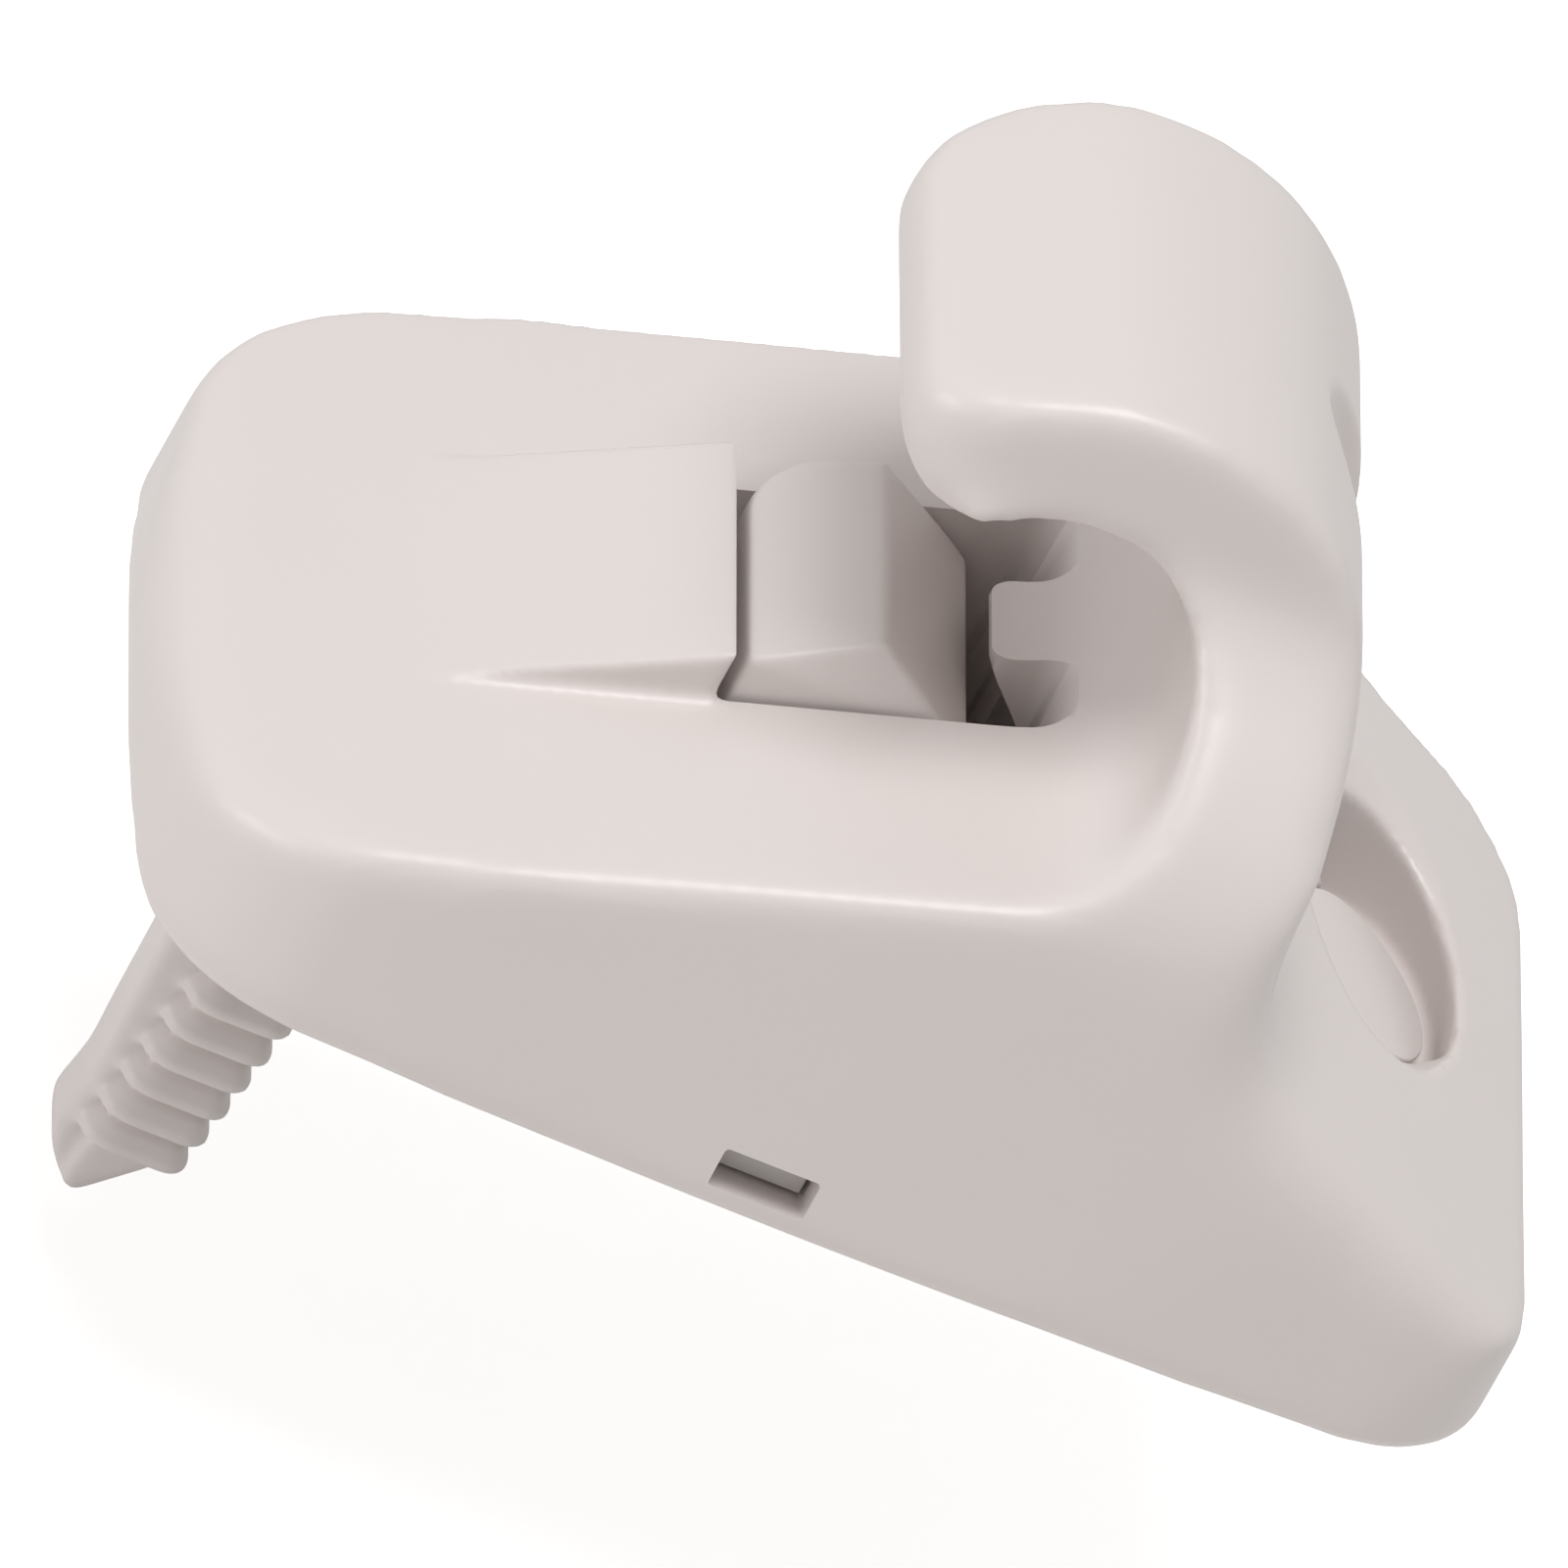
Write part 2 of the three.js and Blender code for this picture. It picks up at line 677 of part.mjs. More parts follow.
// A pan-head screw whose head's inner face lies at the seat, with its shank along the axis.
function screw(size, seat, axis) {
  const tipStart = size.length - 1.5 * size.shank;
  const profile = [
    [0, -size.height],
    [0.8 * size.head, -size.height],
    [size.head, 0],
    [size.shank, 0],
    [size.shank, tipStart],
    [0.3 * size.shank, size.length],
    [0, size.length],
  ];
  const driveBase = seat.clone().addScaledVector(axis, -size.height - over);
  const socket = rod(size.drive, over + size.height / 2, driveBase, axis, 6);
  return turned(profile, seat, axis, 24).subtract(socket);
}

function strapScrewAt([x, y]) {
  return screw(strapScrew, new THREE.Vector3(x, y, saddleBottom - strapThickness), UP);
}

function footScrewSolid() {
  return screw(footScrew, footScrewSeat, recessAxis.clone().negate());
}

// The plain disc that covers the foot screw, on a short skirt round the screw's head.
function footScrewCap() {
  const radius = recessRadius - fit;
  const inner = radius - capSkirt;
  const height = capThickness + footScrew.height;
  const profile = [
    [0, -capThickness],
    [inner, -capThickness],
    [inner, -height],
    [radius, -height],
    [radius, 0],
    [0, 0],
  ];
  return turned(profile, capTop, recessAxis, 40);
}

// A helix about Z.
class Helix extends THREE.Curve {
  constructor(radius, turns, low, high) {
    super();
    Object.assign(this, { radius, turns, low, high });
  }
  getPoint(t, target = new THREE.Vector3()) {
    const a = 2 * Math.PI * this.turns * t;
    const z = this.low + (this.high - this.low) * t;
    return target.set(springX + this.radius * Math.cos(a), channelMid + this.radius * Math.sin(a), z);
  }
}

function returnSpring() {
  const sides = 8;
  const wire = new THREE.Shape();
  wire.absarc(0, 0, springWire, 0, 2 * Math.PI);
  const low = plateThickness + springWire + fit;
  const high = wedgeBottom + springSeat - springWire - fit;
  const path = new Helix(springRadius, springTurns, low, high);
  const steps = Math.round(springTurns * 14);
  return solid(
    new THREE.ExtrudeGeometry(wire, { steps, extrudePath: path, curveSegments: sides, bevelEnabled: false }),
  );
}

// ---- assembly ----

const shellPlastic = { color: 0xdbd5d1, roughness: 0.42, metalness: 0 };
const innerPlastic = { color: 0xc6c1be, roughness: 0.5, metalness: 0 };
const steel = { color: 0xb9bcc0, roughness: 0.32, metalness: 1 };

const latch = new THREE.Group();
const pieces = new THREE.Group();
pieces.position.x = -bodyLength / 2;
latch.add(pieces);

function place(name, made, finish) {
  const mesh = new THREE.Mesh(geometryOf(made), new THREE.MeshStandardMaterial(finish));
  mesh.name = name;
  pieces.add(mesh);
}

place("housing", housing(), shellPlastic);
place("latch_lever", latchLever(), shellPlastic);
place("wall_plate", wallPlate(), innerPlastic);
place("pivot_pin", pivotPin(), steel);
place("pin_strap_near", pinStrap(-1), innerPlastic);
place("pin_strap_far", pinStrap(1), innerPlastic);
strapScrewPlaces().forEach((at, i) => place(`strap_screw_${i + 1}`, strapScrewAt(at), steel));
place("return_spring", returnSpring(), steel);
place("foot_screw", footScrewSolid(), steel);
place("foot_screw_cap", footScrewCap(), shellPlastic);

export default latch;
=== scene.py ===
"""Stair gate latch: the looks of its housing, lever, wall plate, screw cap and steel fasteners."""

import json
import logging
import math
from abc import ABC, abstractmethod
from dataclasses import dataclass
from enum import Enum

import bpy
from mathutils import Matrix, Vector


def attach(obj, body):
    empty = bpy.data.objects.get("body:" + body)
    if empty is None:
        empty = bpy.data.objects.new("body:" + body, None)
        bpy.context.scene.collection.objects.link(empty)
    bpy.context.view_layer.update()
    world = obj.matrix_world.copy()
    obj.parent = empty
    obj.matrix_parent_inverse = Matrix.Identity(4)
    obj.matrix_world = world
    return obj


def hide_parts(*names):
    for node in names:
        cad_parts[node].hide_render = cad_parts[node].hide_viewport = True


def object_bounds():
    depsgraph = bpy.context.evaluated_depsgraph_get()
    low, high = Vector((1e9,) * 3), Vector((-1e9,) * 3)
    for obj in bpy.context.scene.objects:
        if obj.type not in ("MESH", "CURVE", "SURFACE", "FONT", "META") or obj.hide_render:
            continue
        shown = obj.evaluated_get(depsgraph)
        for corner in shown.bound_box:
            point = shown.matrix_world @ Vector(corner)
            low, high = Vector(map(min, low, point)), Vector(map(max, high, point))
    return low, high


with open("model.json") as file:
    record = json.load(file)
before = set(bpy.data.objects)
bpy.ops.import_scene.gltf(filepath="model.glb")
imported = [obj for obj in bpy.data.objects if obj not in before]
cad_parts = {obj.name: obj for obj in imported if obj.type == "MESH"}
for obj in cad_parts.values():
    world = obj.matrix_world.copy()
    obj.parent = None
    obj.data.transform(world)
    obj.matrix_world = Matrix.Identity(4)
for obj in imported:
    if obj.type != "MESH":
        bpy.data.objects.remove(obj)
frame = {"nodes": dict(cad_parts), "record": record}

MM = 0.001
CLEAR = 1.0  # mm that a cutting piece passes what it cuts
LAP = 0.01  # mm that stacked pieces run into each other
SAME = 0.01  # mm; an outline's points closer than this are one
MERGE = 0.00001  # m; a CAD mesh's points closer than this are one
QUARTER = math.pi / 2
BAR_SIDES = 64  # of a round bar
CAD_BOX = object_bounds()
SPRING = "return_spring"
LOG = logging.getLogger("latch")

Point = tuple[float, float]
Span = tuple[float, float]
Place = tuple[float, float, float]


class Axis(Enum):
    """The direction that a prism is extruded along, with where its outline's two numbers go."""

    X = (1, 2, 0)
    Y = (0, 2, 1)
    Z = (0, 1, 2)


class Cut(Enum):
    """How two closed pieces are put together."""

    JOIN = "UNION"
    TAKE = "DIFFERENCE"
    KEEP = "INTERSECT"


# ---- modelling ----


def only(piece: bpy.types.Object) -> None:
    """Makes one piece the selected and active one.

    Args:
        piece: the piece.
    """
    bpy.ops.object.select_all(action="DESELECT")
    piece.select_set(True)
    bpy.context.view_layer.objects.active = piece


def prism(name: str, outline: list[Point], axis: Axis, span: Span) -> bpy.types.Object:
    """Extrudes a closed outline, given in mm, between two levels.

    Args:
        name: the new piece's name.
        outline: pairs of mm in the plane across the axis.
        axis: the direction of the extrusion.
        span: the two levels along the axis, in mm.

    Returns:
        The closed prism.
    """
    bpy.ops.object.select_all(action="DESELECT")
    bpy.ops.mesh.primitive_circle_add(vertices=len(outline), fill_type="NGON")
    piece = bpy.context.active_object
    piece.name = name
    first, second, third = axis.value
    for vertex, (a, b) in zip(piece.data.vertices, outline):
        vertex.co[first], vertex.co[second], vertex.co[third] = a * MM, b * MM, span[0] * MM
    move = [0.0, 0.0, 0.0]
    move[third] = (span[1] - span[0]) * MM
    bpy.ops.object.mode_set(mode="EDIT")
    bpy.ops.mesh.select_all(action="SELECT")
    bpy.ops.mesh.extrude_region_move(TRANSFORM_OT_translate={"value": move})
    bpy.ops.mesh.select_all(action="SELECT")
    bpy.ops.mesh.quads_convert_to_tris()
    bpy.ops.mesh.normals_make_consistent(inside=False)
    bpy.ops.object.mode_set(mode="OBJECT")
    return piece


def loft(name: str, low: list[Point], high: list[Point], span: Span) -> bpy.types.Object:
    """A prism along Z whose upper outline differs from its lower one.

    Args:
        name: the new piece's name.
        low: the lower outline, in mm.
        high: the upper outline, with as many points.
        span: the two levels, in mm.

    Returns:
        The closed piece.
    """
    piece = prism(name, low, Axis.Z, span)
    middle = (span[0] + span[1]) / 2 * MM
    tops = [v for v in piece.data.vertices if v.co.z > middle]
    for vertex in tops:
        here = (vertex.co.x / MM, vertex.co.y / MM)
        nearest = min(range(len(low)), key=lambda i: math.dist(here, low[i]))
        vertex.co.x, vertex.co.y = high[nearest][0] * MM, high[nearest][1] * MM
    return piece


def block(name: str, x: Span, y: Span, z: Span) -> bpy.types.Object:
    """A box between two corners, in mm."""
    return prism(name, [(x[0], y[0]), (x[1], y[0]), (x[1], y[1]), (x[0], y[1])], Axis.Z, z)


def rod(name: str, radius: float, base: Vector, axis: Vector, length: float) -> bpy.types.Object:
    """A round bar from a base point along an axis, in mm.

    Args:
        name: the new piece's name.
        radius: the bar's radius.
        base: the middle of its lower end.
        axis: a unit vector along it.
        length: its length.

    Returns:
        The closed bar.
    """
    bpy.ops.object.select_all(action="DESELECT")
    middle = (base + axis * (length / 2)) * MM
    turn = axis.to_track_quat("Z", "Y")
    bpy.ops.mesh.primitive_cylinder_add(
        vertices=BAR_SIDES, radius=radius * MM, depth=length * MM, location=middle, rotation=turn.to_euler()
    )
    piece = bpy.context.active_object
    piece.name = name
    bpy.ops.object.transform_apply(location=True, rotation=True, scale=True)
    return piece


def combine(piece: bpy.types.Object, tool: bpy.types.Object, cut: Cut) -> None:
    """Joins or cuts a piece with another, which is used up.

    Args:
        piece: the piece that stays.
        tool: the closed piece to join or cut it with.
        cut: what to do with the two.
    """
    only(piece)
    step = piece.modifiers.new("combine", "BOOLEAN")
    step.operation = cut.value
    step.solver = "MANIFOLD"
    step.object = tool
    bpy.ops.object.modifier_apply(modifier=step.name)
    bpy.data.meshes.remove(tool.data)


def remesh(piece: bpy.types.Object, voxel: float) -> None:
    """Rebuilds a closed piece as an even mesh.

    Args:
        piece: the piece to rebuild.
        voxel: the size of its cells, in mm.
    """
    only(piece)
    step = piece.modifiers.new("even", "REMESH")
    step.mode = "VOXEL"
    step.voxel_size = voxel * MM
    bpy.ops.object.modifier_apply(modifier=step.name)


def soften(piece: bpy.types.Object, rounds: int, group: str = "") -> None:
    """Rounds a piece's edges by smoothing its mesh.

    Args:
        piece: the piece to round.
        rounds: how often each point moves halfway to the middle of its neighbours.
        group: a vertex group whose weights say how far each point moves, or nothing for all alike.
    """
    only(piece)
    step = piece.modifiers.new("soften", "SMOOTH")
    step.factor = 0.5
    step.iterations = rounds
    step.vertex_group = group
    bpy.ops.object.modifier_apply(modifier=step.name)


def thin(piece: bpy.types.Object, triangles: int) -> None:
    """Reduces a piece's mesh.

    Args:
        piece: the piece to reduce.
        triangles: about how many triangles to leave.
    """
    only(piece)
    have = sum(len(p.vertices) - 2 for p in piece.data.polygons)
    step = piece.modifiers.new("thin", "DECIMATE")
    step.ratio = min(1.0, triangles / have)
    bpy.ops.object.modifier_apply(modifier=step.name)


def smooth_shade(piece: bpy.types.Object, degrees: float = 60) -> None:
    """Shades a piece smooth, with creases sharper than an angle kept."""
    only(piece)
    bpy.ops.object.shade_smooth_by_angle(angle=math.radians(degrees))


def copy_of(node: str, name: str) -> bpy.types.Object:
    """A merged copy of a CAD node's mesh as a new piece.

    Args:
        node: the CAD node's name.
        name: the new piece's name.

    Returns:
        The copy, without a material.
    """
    source = frame["nodes"][node]
    piece = bpy.data.objects.new(name, source.data.copy())
    piece.data.materials.clear()
    bpy.context.scene.collection.objects.link(piece)
    only(piece)
    bpy.ops.object.mode_set(mode="EDIT")
    bpy.ops.mesh.select_all(action="SELECT")
    bpy.ops.mesh.remove_doubles(threshold=MERGE)
    bpy.ops.object.mode_set(mode="OBJECT")
    return piece


# ---- outlines ----


def arc(centre: Point, radius: float, start: float, end: float, steps: int) -> list[Point]:
    """Points along a circular arc.

    Args:
        centre: the arc's centre.
        radius: its radius.
        start: the angle that it starts at, in radians.
        end: the angle that it ends at.
        steps: how many equal steps it takes.

    Returns:
        Its points, with both ends.
    """
    angles = [start + (end - start) * i / steps for i in range(steps + 1)]
    return [(centre[0] + radius * math.cos(a), centre[1] + radius * math.sin(a)) for a in angles]


def mix(first: float, second: float, share: float) -> float:
    """The value that lies a share of the way from one to another."""
    return first + (second - first) * share


def sweep(points: list[Point], steps: int) -> list[Point]:
    """Points along a Bezier curve.

    Args:
        points: its two ends, with one or two handles between them.
        steps: how many steps it takes.

    Returns:
        Its points, with both ends.
    """
    made = []
    for i in range(steps + 1):
        level = points
        while len(level) > 1:
            pairs = zip(level, level[1:])
            level = [(mix(a[0], b[0], i / steps), mix(a[1], b[1], i / steps)) for a, b in pairs]
        made.append(level[0])
    return made


def tidy_outline(points: list[Point]) -> list[Point]:
    """An outline without the points that repeat the one before.

    Args:
        points: the outline.

    Returns:
        What is left of it.
    """
    kept: list[Point] = []
    for p in points:
        if not kept or math.dist(p, kept[-1]) > SAME:
            kept.append(p)
    return kept[:-1] if math.dist(kept[0], kept[-1]) < SAME else kept


def ease(value: float, low: float, high: float) -> float:
    """Runs smoothly from 0 at the low value to 1 at the high one."""
    t = min(1.0, max(0.0, (value - low) / (high - low)))
    return t * t * (3 - 2 * t)


def rounded(x: Span, y: Span, left: float, right: float, steps: int) -> list[Point]:
    """A rectangle with round corners.

    Args:
        x: its two sides.
        y: its lower and upper edge.
        left: the radius of its left corners.
        right: the radius of its right corners.
        steps: how many steps each corner takes.

    Returns:
        Its outline.
    """
    return tidy_outline(
        arc((x[1] - right, y[0] + right), right, -QUARTER, 0, steps)
        + arc((x[1] - right, y[1] - right), right, 0, QUARTER, steps)
        + arc((x[0] + left, y[1] - left), left, QUARTER, 2 * QUARTER, steps)
        + arc((x[0] + left, y[0] + left), left, 2 * QUARTER, 3 * QUARTER, steps)
    )


# ---- sub-assemblies ----


def paint(piece: bpy.types.Object, material: bpy.types.Material) -> None:
    """Gives a piece one material."""
    piece.data.materials.clear()
    piece.data.materials.append(material)


class Part(ABC):
    """A sub-assembly whose finished piece stands for a CAD node."""

    @abstractmethod
    def build(self) -> bpy.types.Object:
        """Models the piece that takes a CAD node's place."""

    def dress(self, piece: bpy.types.Object, material: bpy.types.Material) -> None:
        """Gives the finished piece its one material."""
        paint(piece, material)


# ---- housing ----


@dataclass(frozen=True)
class Rounding:
    """How far the housing is rounded from place to place: spans in mm, amounts from 0 to 1."""

    across: Span = (-12.0, 12.0)
    left_end: Span = (4.0, 40.0)
    left_far: float = 0.3
    base: Span = (0.6, 5.0)
    base_least: float = 0.15
    base_left: float = 0.25
    hook: Span = (3.0, 9.0)
    hook_rim: Span = (2.0, 7.0)
    hook_rim_least: float = 0.4
    hook_far: float = 0.5
    foot: Span = (76.0, 84.0)
    foot_top: Span = (24.0, 30.0)
    foot_less: float = 0.6
    plain: Span = (0.18, 0.45)
    most: float = 0.9

    def edge(self, x: float, y: float, z: float, over: float, out: float) -> float:
        """How far an edge is rounded: the hook's most, the far side and the mounting face least.

        Args:
            x: the place along the body.
            y: the place across it.
            z: its height.
            over: its height over the channel's floor.
            out: its distance outside the channel's round end.

        Returns:
            The amount, from 0 to 1.
        """
        near = 1 - ease(y, *self.across)
        left = (1 - ease(x, *self.left_end)) * mix(self.left_far, 1, near)
        low = mix(self.base_least + self.base_left * left, 1, ease(z, *self.base))
        hook = ease(over, *self.hook)
        hook *= mix(self.hook_rim_least, 1, ease(out, *self.hook_rim)) * mix(self.hook_far, 1, near)
        foot = ease(x, *self.foot) * (1 - ease(z, *self.foot_top))
        plain = mix(*self.plain, near)
        return low * mix(plain, self.most, max(hook, left)) * (1 - self.foot_less * foot)


@dataclass(frozen=True)
class Flare:
    """Where the foot's sides run softly into the neck: spans in mm, amounts from 0 to 1."""

    near: Span = (11.0, 19.0)
    far: Span = (14.0, 19.0)
    far_most: float = 0.3
    far_end: Span = (80.0, 88.0)
    start: Span = (62.0, 74.0)
    end: Span = (96.0, 102.0)
    top: Span = (30.0, 38.0)
    bottom: Span = (4.0, 9.0)

    def at(self, x: float, out: float, z: float) -> float:
        """How soft a place is.

        Args:
            x: the place along the body.
            out: the place across it, from the channel's middle.
            z: its height.

        Returns:
            The amount, from 0 to 1.
        """
        beside = ease(-out, *self.near) + self.far_most * ease(out, *self.far) * (1 - ease(x, *self.far_end))
        spread = ease(x, *self.start) * (1 - ease(x, *self.end)) * (1 - ease(z, *self.top))
        return spread * beside * ease(z, *self.bottom)


@dataclass
class Housing(Part):
    """The moulded J with its base, foot and pocket.

    Sizes in mm, angles in degrees, turns in shares of half a circle; X is counted from the left end.
    """

    length: float = 103.6
    width: float = 70.4
    waist: float = 68.0
    side_bow: float = 1.2
    end_bow: float = 1.8
    low_edge: float = 0.9
    low_edge_inset: float = 1.3
    low_edge_drop: float = 0.3
    left_corner: float = 14.0
    right_corner: float = 12.0
    far_corner: float = 9.0
    wall: float = 2.8
    skin: float = 0.2
    shoulder: float = 27.0
    channel_mid: float = 1.8
    channel_radius: float = 10.75
    channel_end: float = 51.4
    floor_angle: float = 18.9
    floor_left: float = 11.4
    end_radius: float = 5.2
    end_under: float = 7.0
    arm_width: float = 39.4
    arm_shift: float = 0.4
    arm_flare: float = 1.0
    back_radius: float = 21.0
    back_shift: float = 1.8
    back_drop: float = 0.75
    back_turn: float = 0.58
    hook_reach: float = 5.8
    hook_sag: float = 1.0
    tip_radius: float = 5.2
    tip_turn: float = 0.8
    tip_corners: tuple[float, float] = (6.0, 12.0)
    tip_corner_drop: float = 5.0
    foot_angle: float = 28.0
    foot_edge: float = 8.6
    neck_fillet: float = 6.0
    neck_rise: float = 12.0
    recess_radius: float = 7.2
    recess_shift: Point = (0.2, 1.7)
    recess_tilt: float = 27.0
    recess_depth: float = 2.9
    recess_below: float = 4.1
    recess_length: float = 19.0
    mouth_size: Point = (18.2, 32.4)
    mouth_shift: Point = (-1.6, 3.0)
    well_flare: float = 0.75
    well_floor: float = 7.6
    well_rise: float = 8.0
    well_start: int = -30
    well_end: int = 150
    well_step: int = 6
    relief_radius: float = 6.9
    relief_lean: float = 0.36
    relief_start: float = 12.0
    ramp_start: float = 17.0
    ramp_width: float = 26.6
    ramp_height: float = 4.2
    ramp_edge: float = 0.25
    pocket_start: float = 35.2
    pocket_end: float = 58.5
    pocket_width: float = 26.0
    pocket_floor: float = 13.0
    pocket_corner: float = 2.6
    web_rise: float = 20.0
    finger_width: float = 9.6
    finger_reach: float = 5.2
    finger_corner: float = 1.5
    finger_fillet: float = 2.2
    finger_lip: float = 0.6
    slot: tuple[float, float, float, float] = (44.9, 7.1, 2.0, 3.2)
    slot_corner: float = 0.35
    seat_length: float = 20.0
    tall: float = 60.0
    rounding: Rounding = Rounding()
    flare: Flare = Flare()
    coarse_cell: float = 0.7
    fine_cell: float = 0.45
    edge_rounds: int = 60
    flare_rounds: int = 220
    last_rounds: int = 2
    triangles: int = 150000

    def x(self, along: float) -> float:
        """A length along the body as the frame's X."""
        return along - self.length / 2

    @property
    def slope(self) -> float:
        """Rise of the channel's floor for each mm of X."""
        return math.tan(math.radians(self.floor_angle))

    def floor_at(self, along: float) -> float:
        """Height of the channel's floor."""
        return self.floor_left + self.slope * along

    def foot_at(self, along: float) -> float:
        """Height of the foot's top."""
        return self.foot_edge + math.tan(math.radians(self.foot_angle)) * (self.length - along)

    @property
    def centre(self) -> Point:
        """Centre of the channel's round end."""
        lift = self.channel_radius / math.cos(math.radians(self.floor_angle))
        return (self.channel_end, self.floor_at(self.channel_end) + lift)

    @property
    def back(self) -> Point:
        """Centre of the hook's outer curve."""
        return (self.channel_end + self.back_shift, self.centre[1] - self.back_drop)

    @property
    def top(self) -> float:
        """A height that clears the hook."""
        return self.back[1] + self.back_radius + CLEAR

    @property
    def neck(self) -> float:
        """X of the neck's right side."""
        return self.back[0] + self.back_radius

    @property
    def tip(self) -> Point:
        """Centre of the round end of the hook.

        Returns:
            Its X, counted from the left end, and its height.
        """
        tilt = math.radians(self.floor_angle)
        reach = self.channel_radius - self.hook_sag + self.tip_radius
        return (
            self.centre[0] - self.hook_reach * math.cos(tilt) - reach * math.sin(tilt),
            self.centre[1] - self.hook_reach * math.sin(tilt) + reach * math.cos(tilt),
        )

    def side(self) -> list[Point]:
        """The J from the side.

        Returns:
            Its outline.
        """
        tilt = math.radians(self.floor_angle)
        down = -math.pi / 2 + tilt
        start, neck = self.neck + self.neck_fillet, self.neck
        foot = self.foot_at(start)
        end, under = self.end_radius, self.end_under
        points = [(under, 0.0), (self.length, 0.0), (self.length, self.foot_edge)]
        points += sweep([(start, foot), (neck, self.foot_at(neck)), (neck, foot + self.neck_rise)], steps=10)
        points += arc(self.back, self.back_radius, 0, self.back_turn * math.pi, steps=32)
        points += arc(self.tip, self.tip_radius, self.tip_turn * math.pi, down + 2 * math.pi, steps=16)
        for a, b in arc(self.centre, self.channel_radius, down + math.pi, down, steps=32):
            rise = (b - self.centre[1]) * math.cos(tilt) - (a - self.centre[0]) * math.sin(tilt)
            sag = self.hook_sag * max(0.0, rise / self.channel_radius)
            points.append((a + sag * math.sin(tilt), b - sag * math.cos(tilt)))
        points += sweep([(end, self.floor_at(end)), (0, self.floor_left), (0, under)], steps=8)
        points += sweep([(0, under), (0, 0), (under, 0)], steps=8)
        return tidy_outline([(self.x(a), b) for a, b in points])

    def plan(self, inset: float = 0.0) -> list[Point]:
        """The body from above, with bowed sides and left end.

        Args:
            inset: how far it is drawn in.

        Returns:
            Its outline.
        """
        side = self.width / 2 - self.side_bow
        left, right = self.end_bow + self.left_corner, self.length - self.right_corner
        far_left, far_right = side - self.left_corner, side - self.far_corner
        near_right = side - self.right_corner
        small, large = self.right_corner - inset, self.left_corner - inset
        side_mid, out = (left + right) / 2, side + 2 * self.side_bow - inset
        points = sweep([(left, inset - side), (side_mid, -out), (right, inset - side)], steps=24)
        points += arc((right, -near_right), small, -QUARTER, 0, steps=12)
        turn = self.length - self.far_corner
        points += arc((turn, far_right), self.far_corner - inset, 0, QUARTER, steps=12)
        points += sweep([(turn, side - inset), (side_mid, out), (left, side - inset)], steps=24)
        points += arc((left, far_left), large, QUARTER, 2 * QUARTER, steps=14)
        edge = self.end_bow + inset
        points += sweep([(edge, far_left), (edge - 2 * self.end_bow, 0), (edge, -far_left)], steps=16)
        points += arc((left, -far_left), large, 2 * QUARTER, 3 * QUARTER, steps=14)
        return tidy_outline([(self.x(a), b) for a, b in points])

    def front(self) -> list[Point]:
        """The width at each height, from the base to the arm.

        Returns:
            Its outline from the end.
        """
        half, waist = self.width / 2, self.waist / 2
        mid = self.channel_mid + self.arm_shift
        near, far = mid - self.arm_width / 2, mid + self.arm_width / 2
        arm = self.centre[1] + self.channel_radius
        bend = (arm - self.shoulder) / 2
        turn, high = self.shoulder + bend, arm - bend / 2
        points = [(-half, -CLEAR), (half, -CLEAR)]
        rise = [(waist, self.shoulder), (waist, turn), (far + self.arm_flare, high), (far, arm)]
        fall = [(near, arm), (near - self.arm_flare, high), (-waist, turn), (-waist, self.shoulder)]
        points += sweep(rise, steps=14) + [(far, self.top), (near, self.top)] + sweep(fall, steps=14)
        return tidy_outline(points)

    def corners(self) -> list[bpy.types.Object]:
        """What the tip of the hook loses at its near and far corners.

        Returns:
            A closed piece for each corner.
        """
        left = self.x(self.tip[0]) - self.tip_radius
        outside = left - 2 * CLEAR
        mid = self.channel_mid + self.arm_shift
        span = (self.centre[1] + self.channel_radius - self.tip_corner_drop, self.top)
        made = []
        for side, radius in zip((-1, 1), self.tip_corners):
            edge = mid + side * self.arm_width / 2
            beyond = edge + side * 2 * CLEAR
            centre = (left + radius, edge - side * radius)
            outline = [(outside, beyond), (outside, centre[1])]
            outline += arc(centre, radius, math.pi, math.pi - side * QUARTER, steps=14)
            outline += [(centre[0], beyond)]
            made.append(prism("corner", outline, Axis.Z, span))
        return made

    def ramp(self) -> bpy.types.Object:
        """The raised ramp that leads the bar over the wedge.

        Returns:
            The closed ramp.
        """
        start, end = self.ramp_start, self.pocket_start
        outline = [
            (self.x(start), self.floor_at(start) - CLEAR),
            (self.x(end), self.floor_at(end) - CLEAR),
            (self.x(end), self.floor_at(end) + self.ramp_height),
            (self.x(start), self.floor_at(start) + self.ramp_edge),
        ]
        half = self.ramp_width / 2
        return prism("ramp", outline, Axis.Y, (self.channel_mid - half, self.channel_mid + half))

    def weigh(self, piece: bpy.types.Object) -> None:
        """Marks how far each place of the core is rounded, in two vertex groups.

        Args:
            piece: the core.
        """
        edges = piece.vertex_groups.new(name="edges")
        flare = piece.vertex_groups.new(name="flare")
        for v in piece.data.vertices:
            x, y, z = v.co.x / MM + self.length / 2, v.co.y / MM, v.co.z / MM
            over = z - self.floor_at(min(x, self.channel_end))
            out = math.dist((x, z), self.centre) - self.channel_radius
            edges.add([v.index], self.rounding.edge(x, y, z, over, out), "REPLACE")
            flare.add([v.index], self.flare.at(x, y - self.channel_mid, z), "REPLACE")

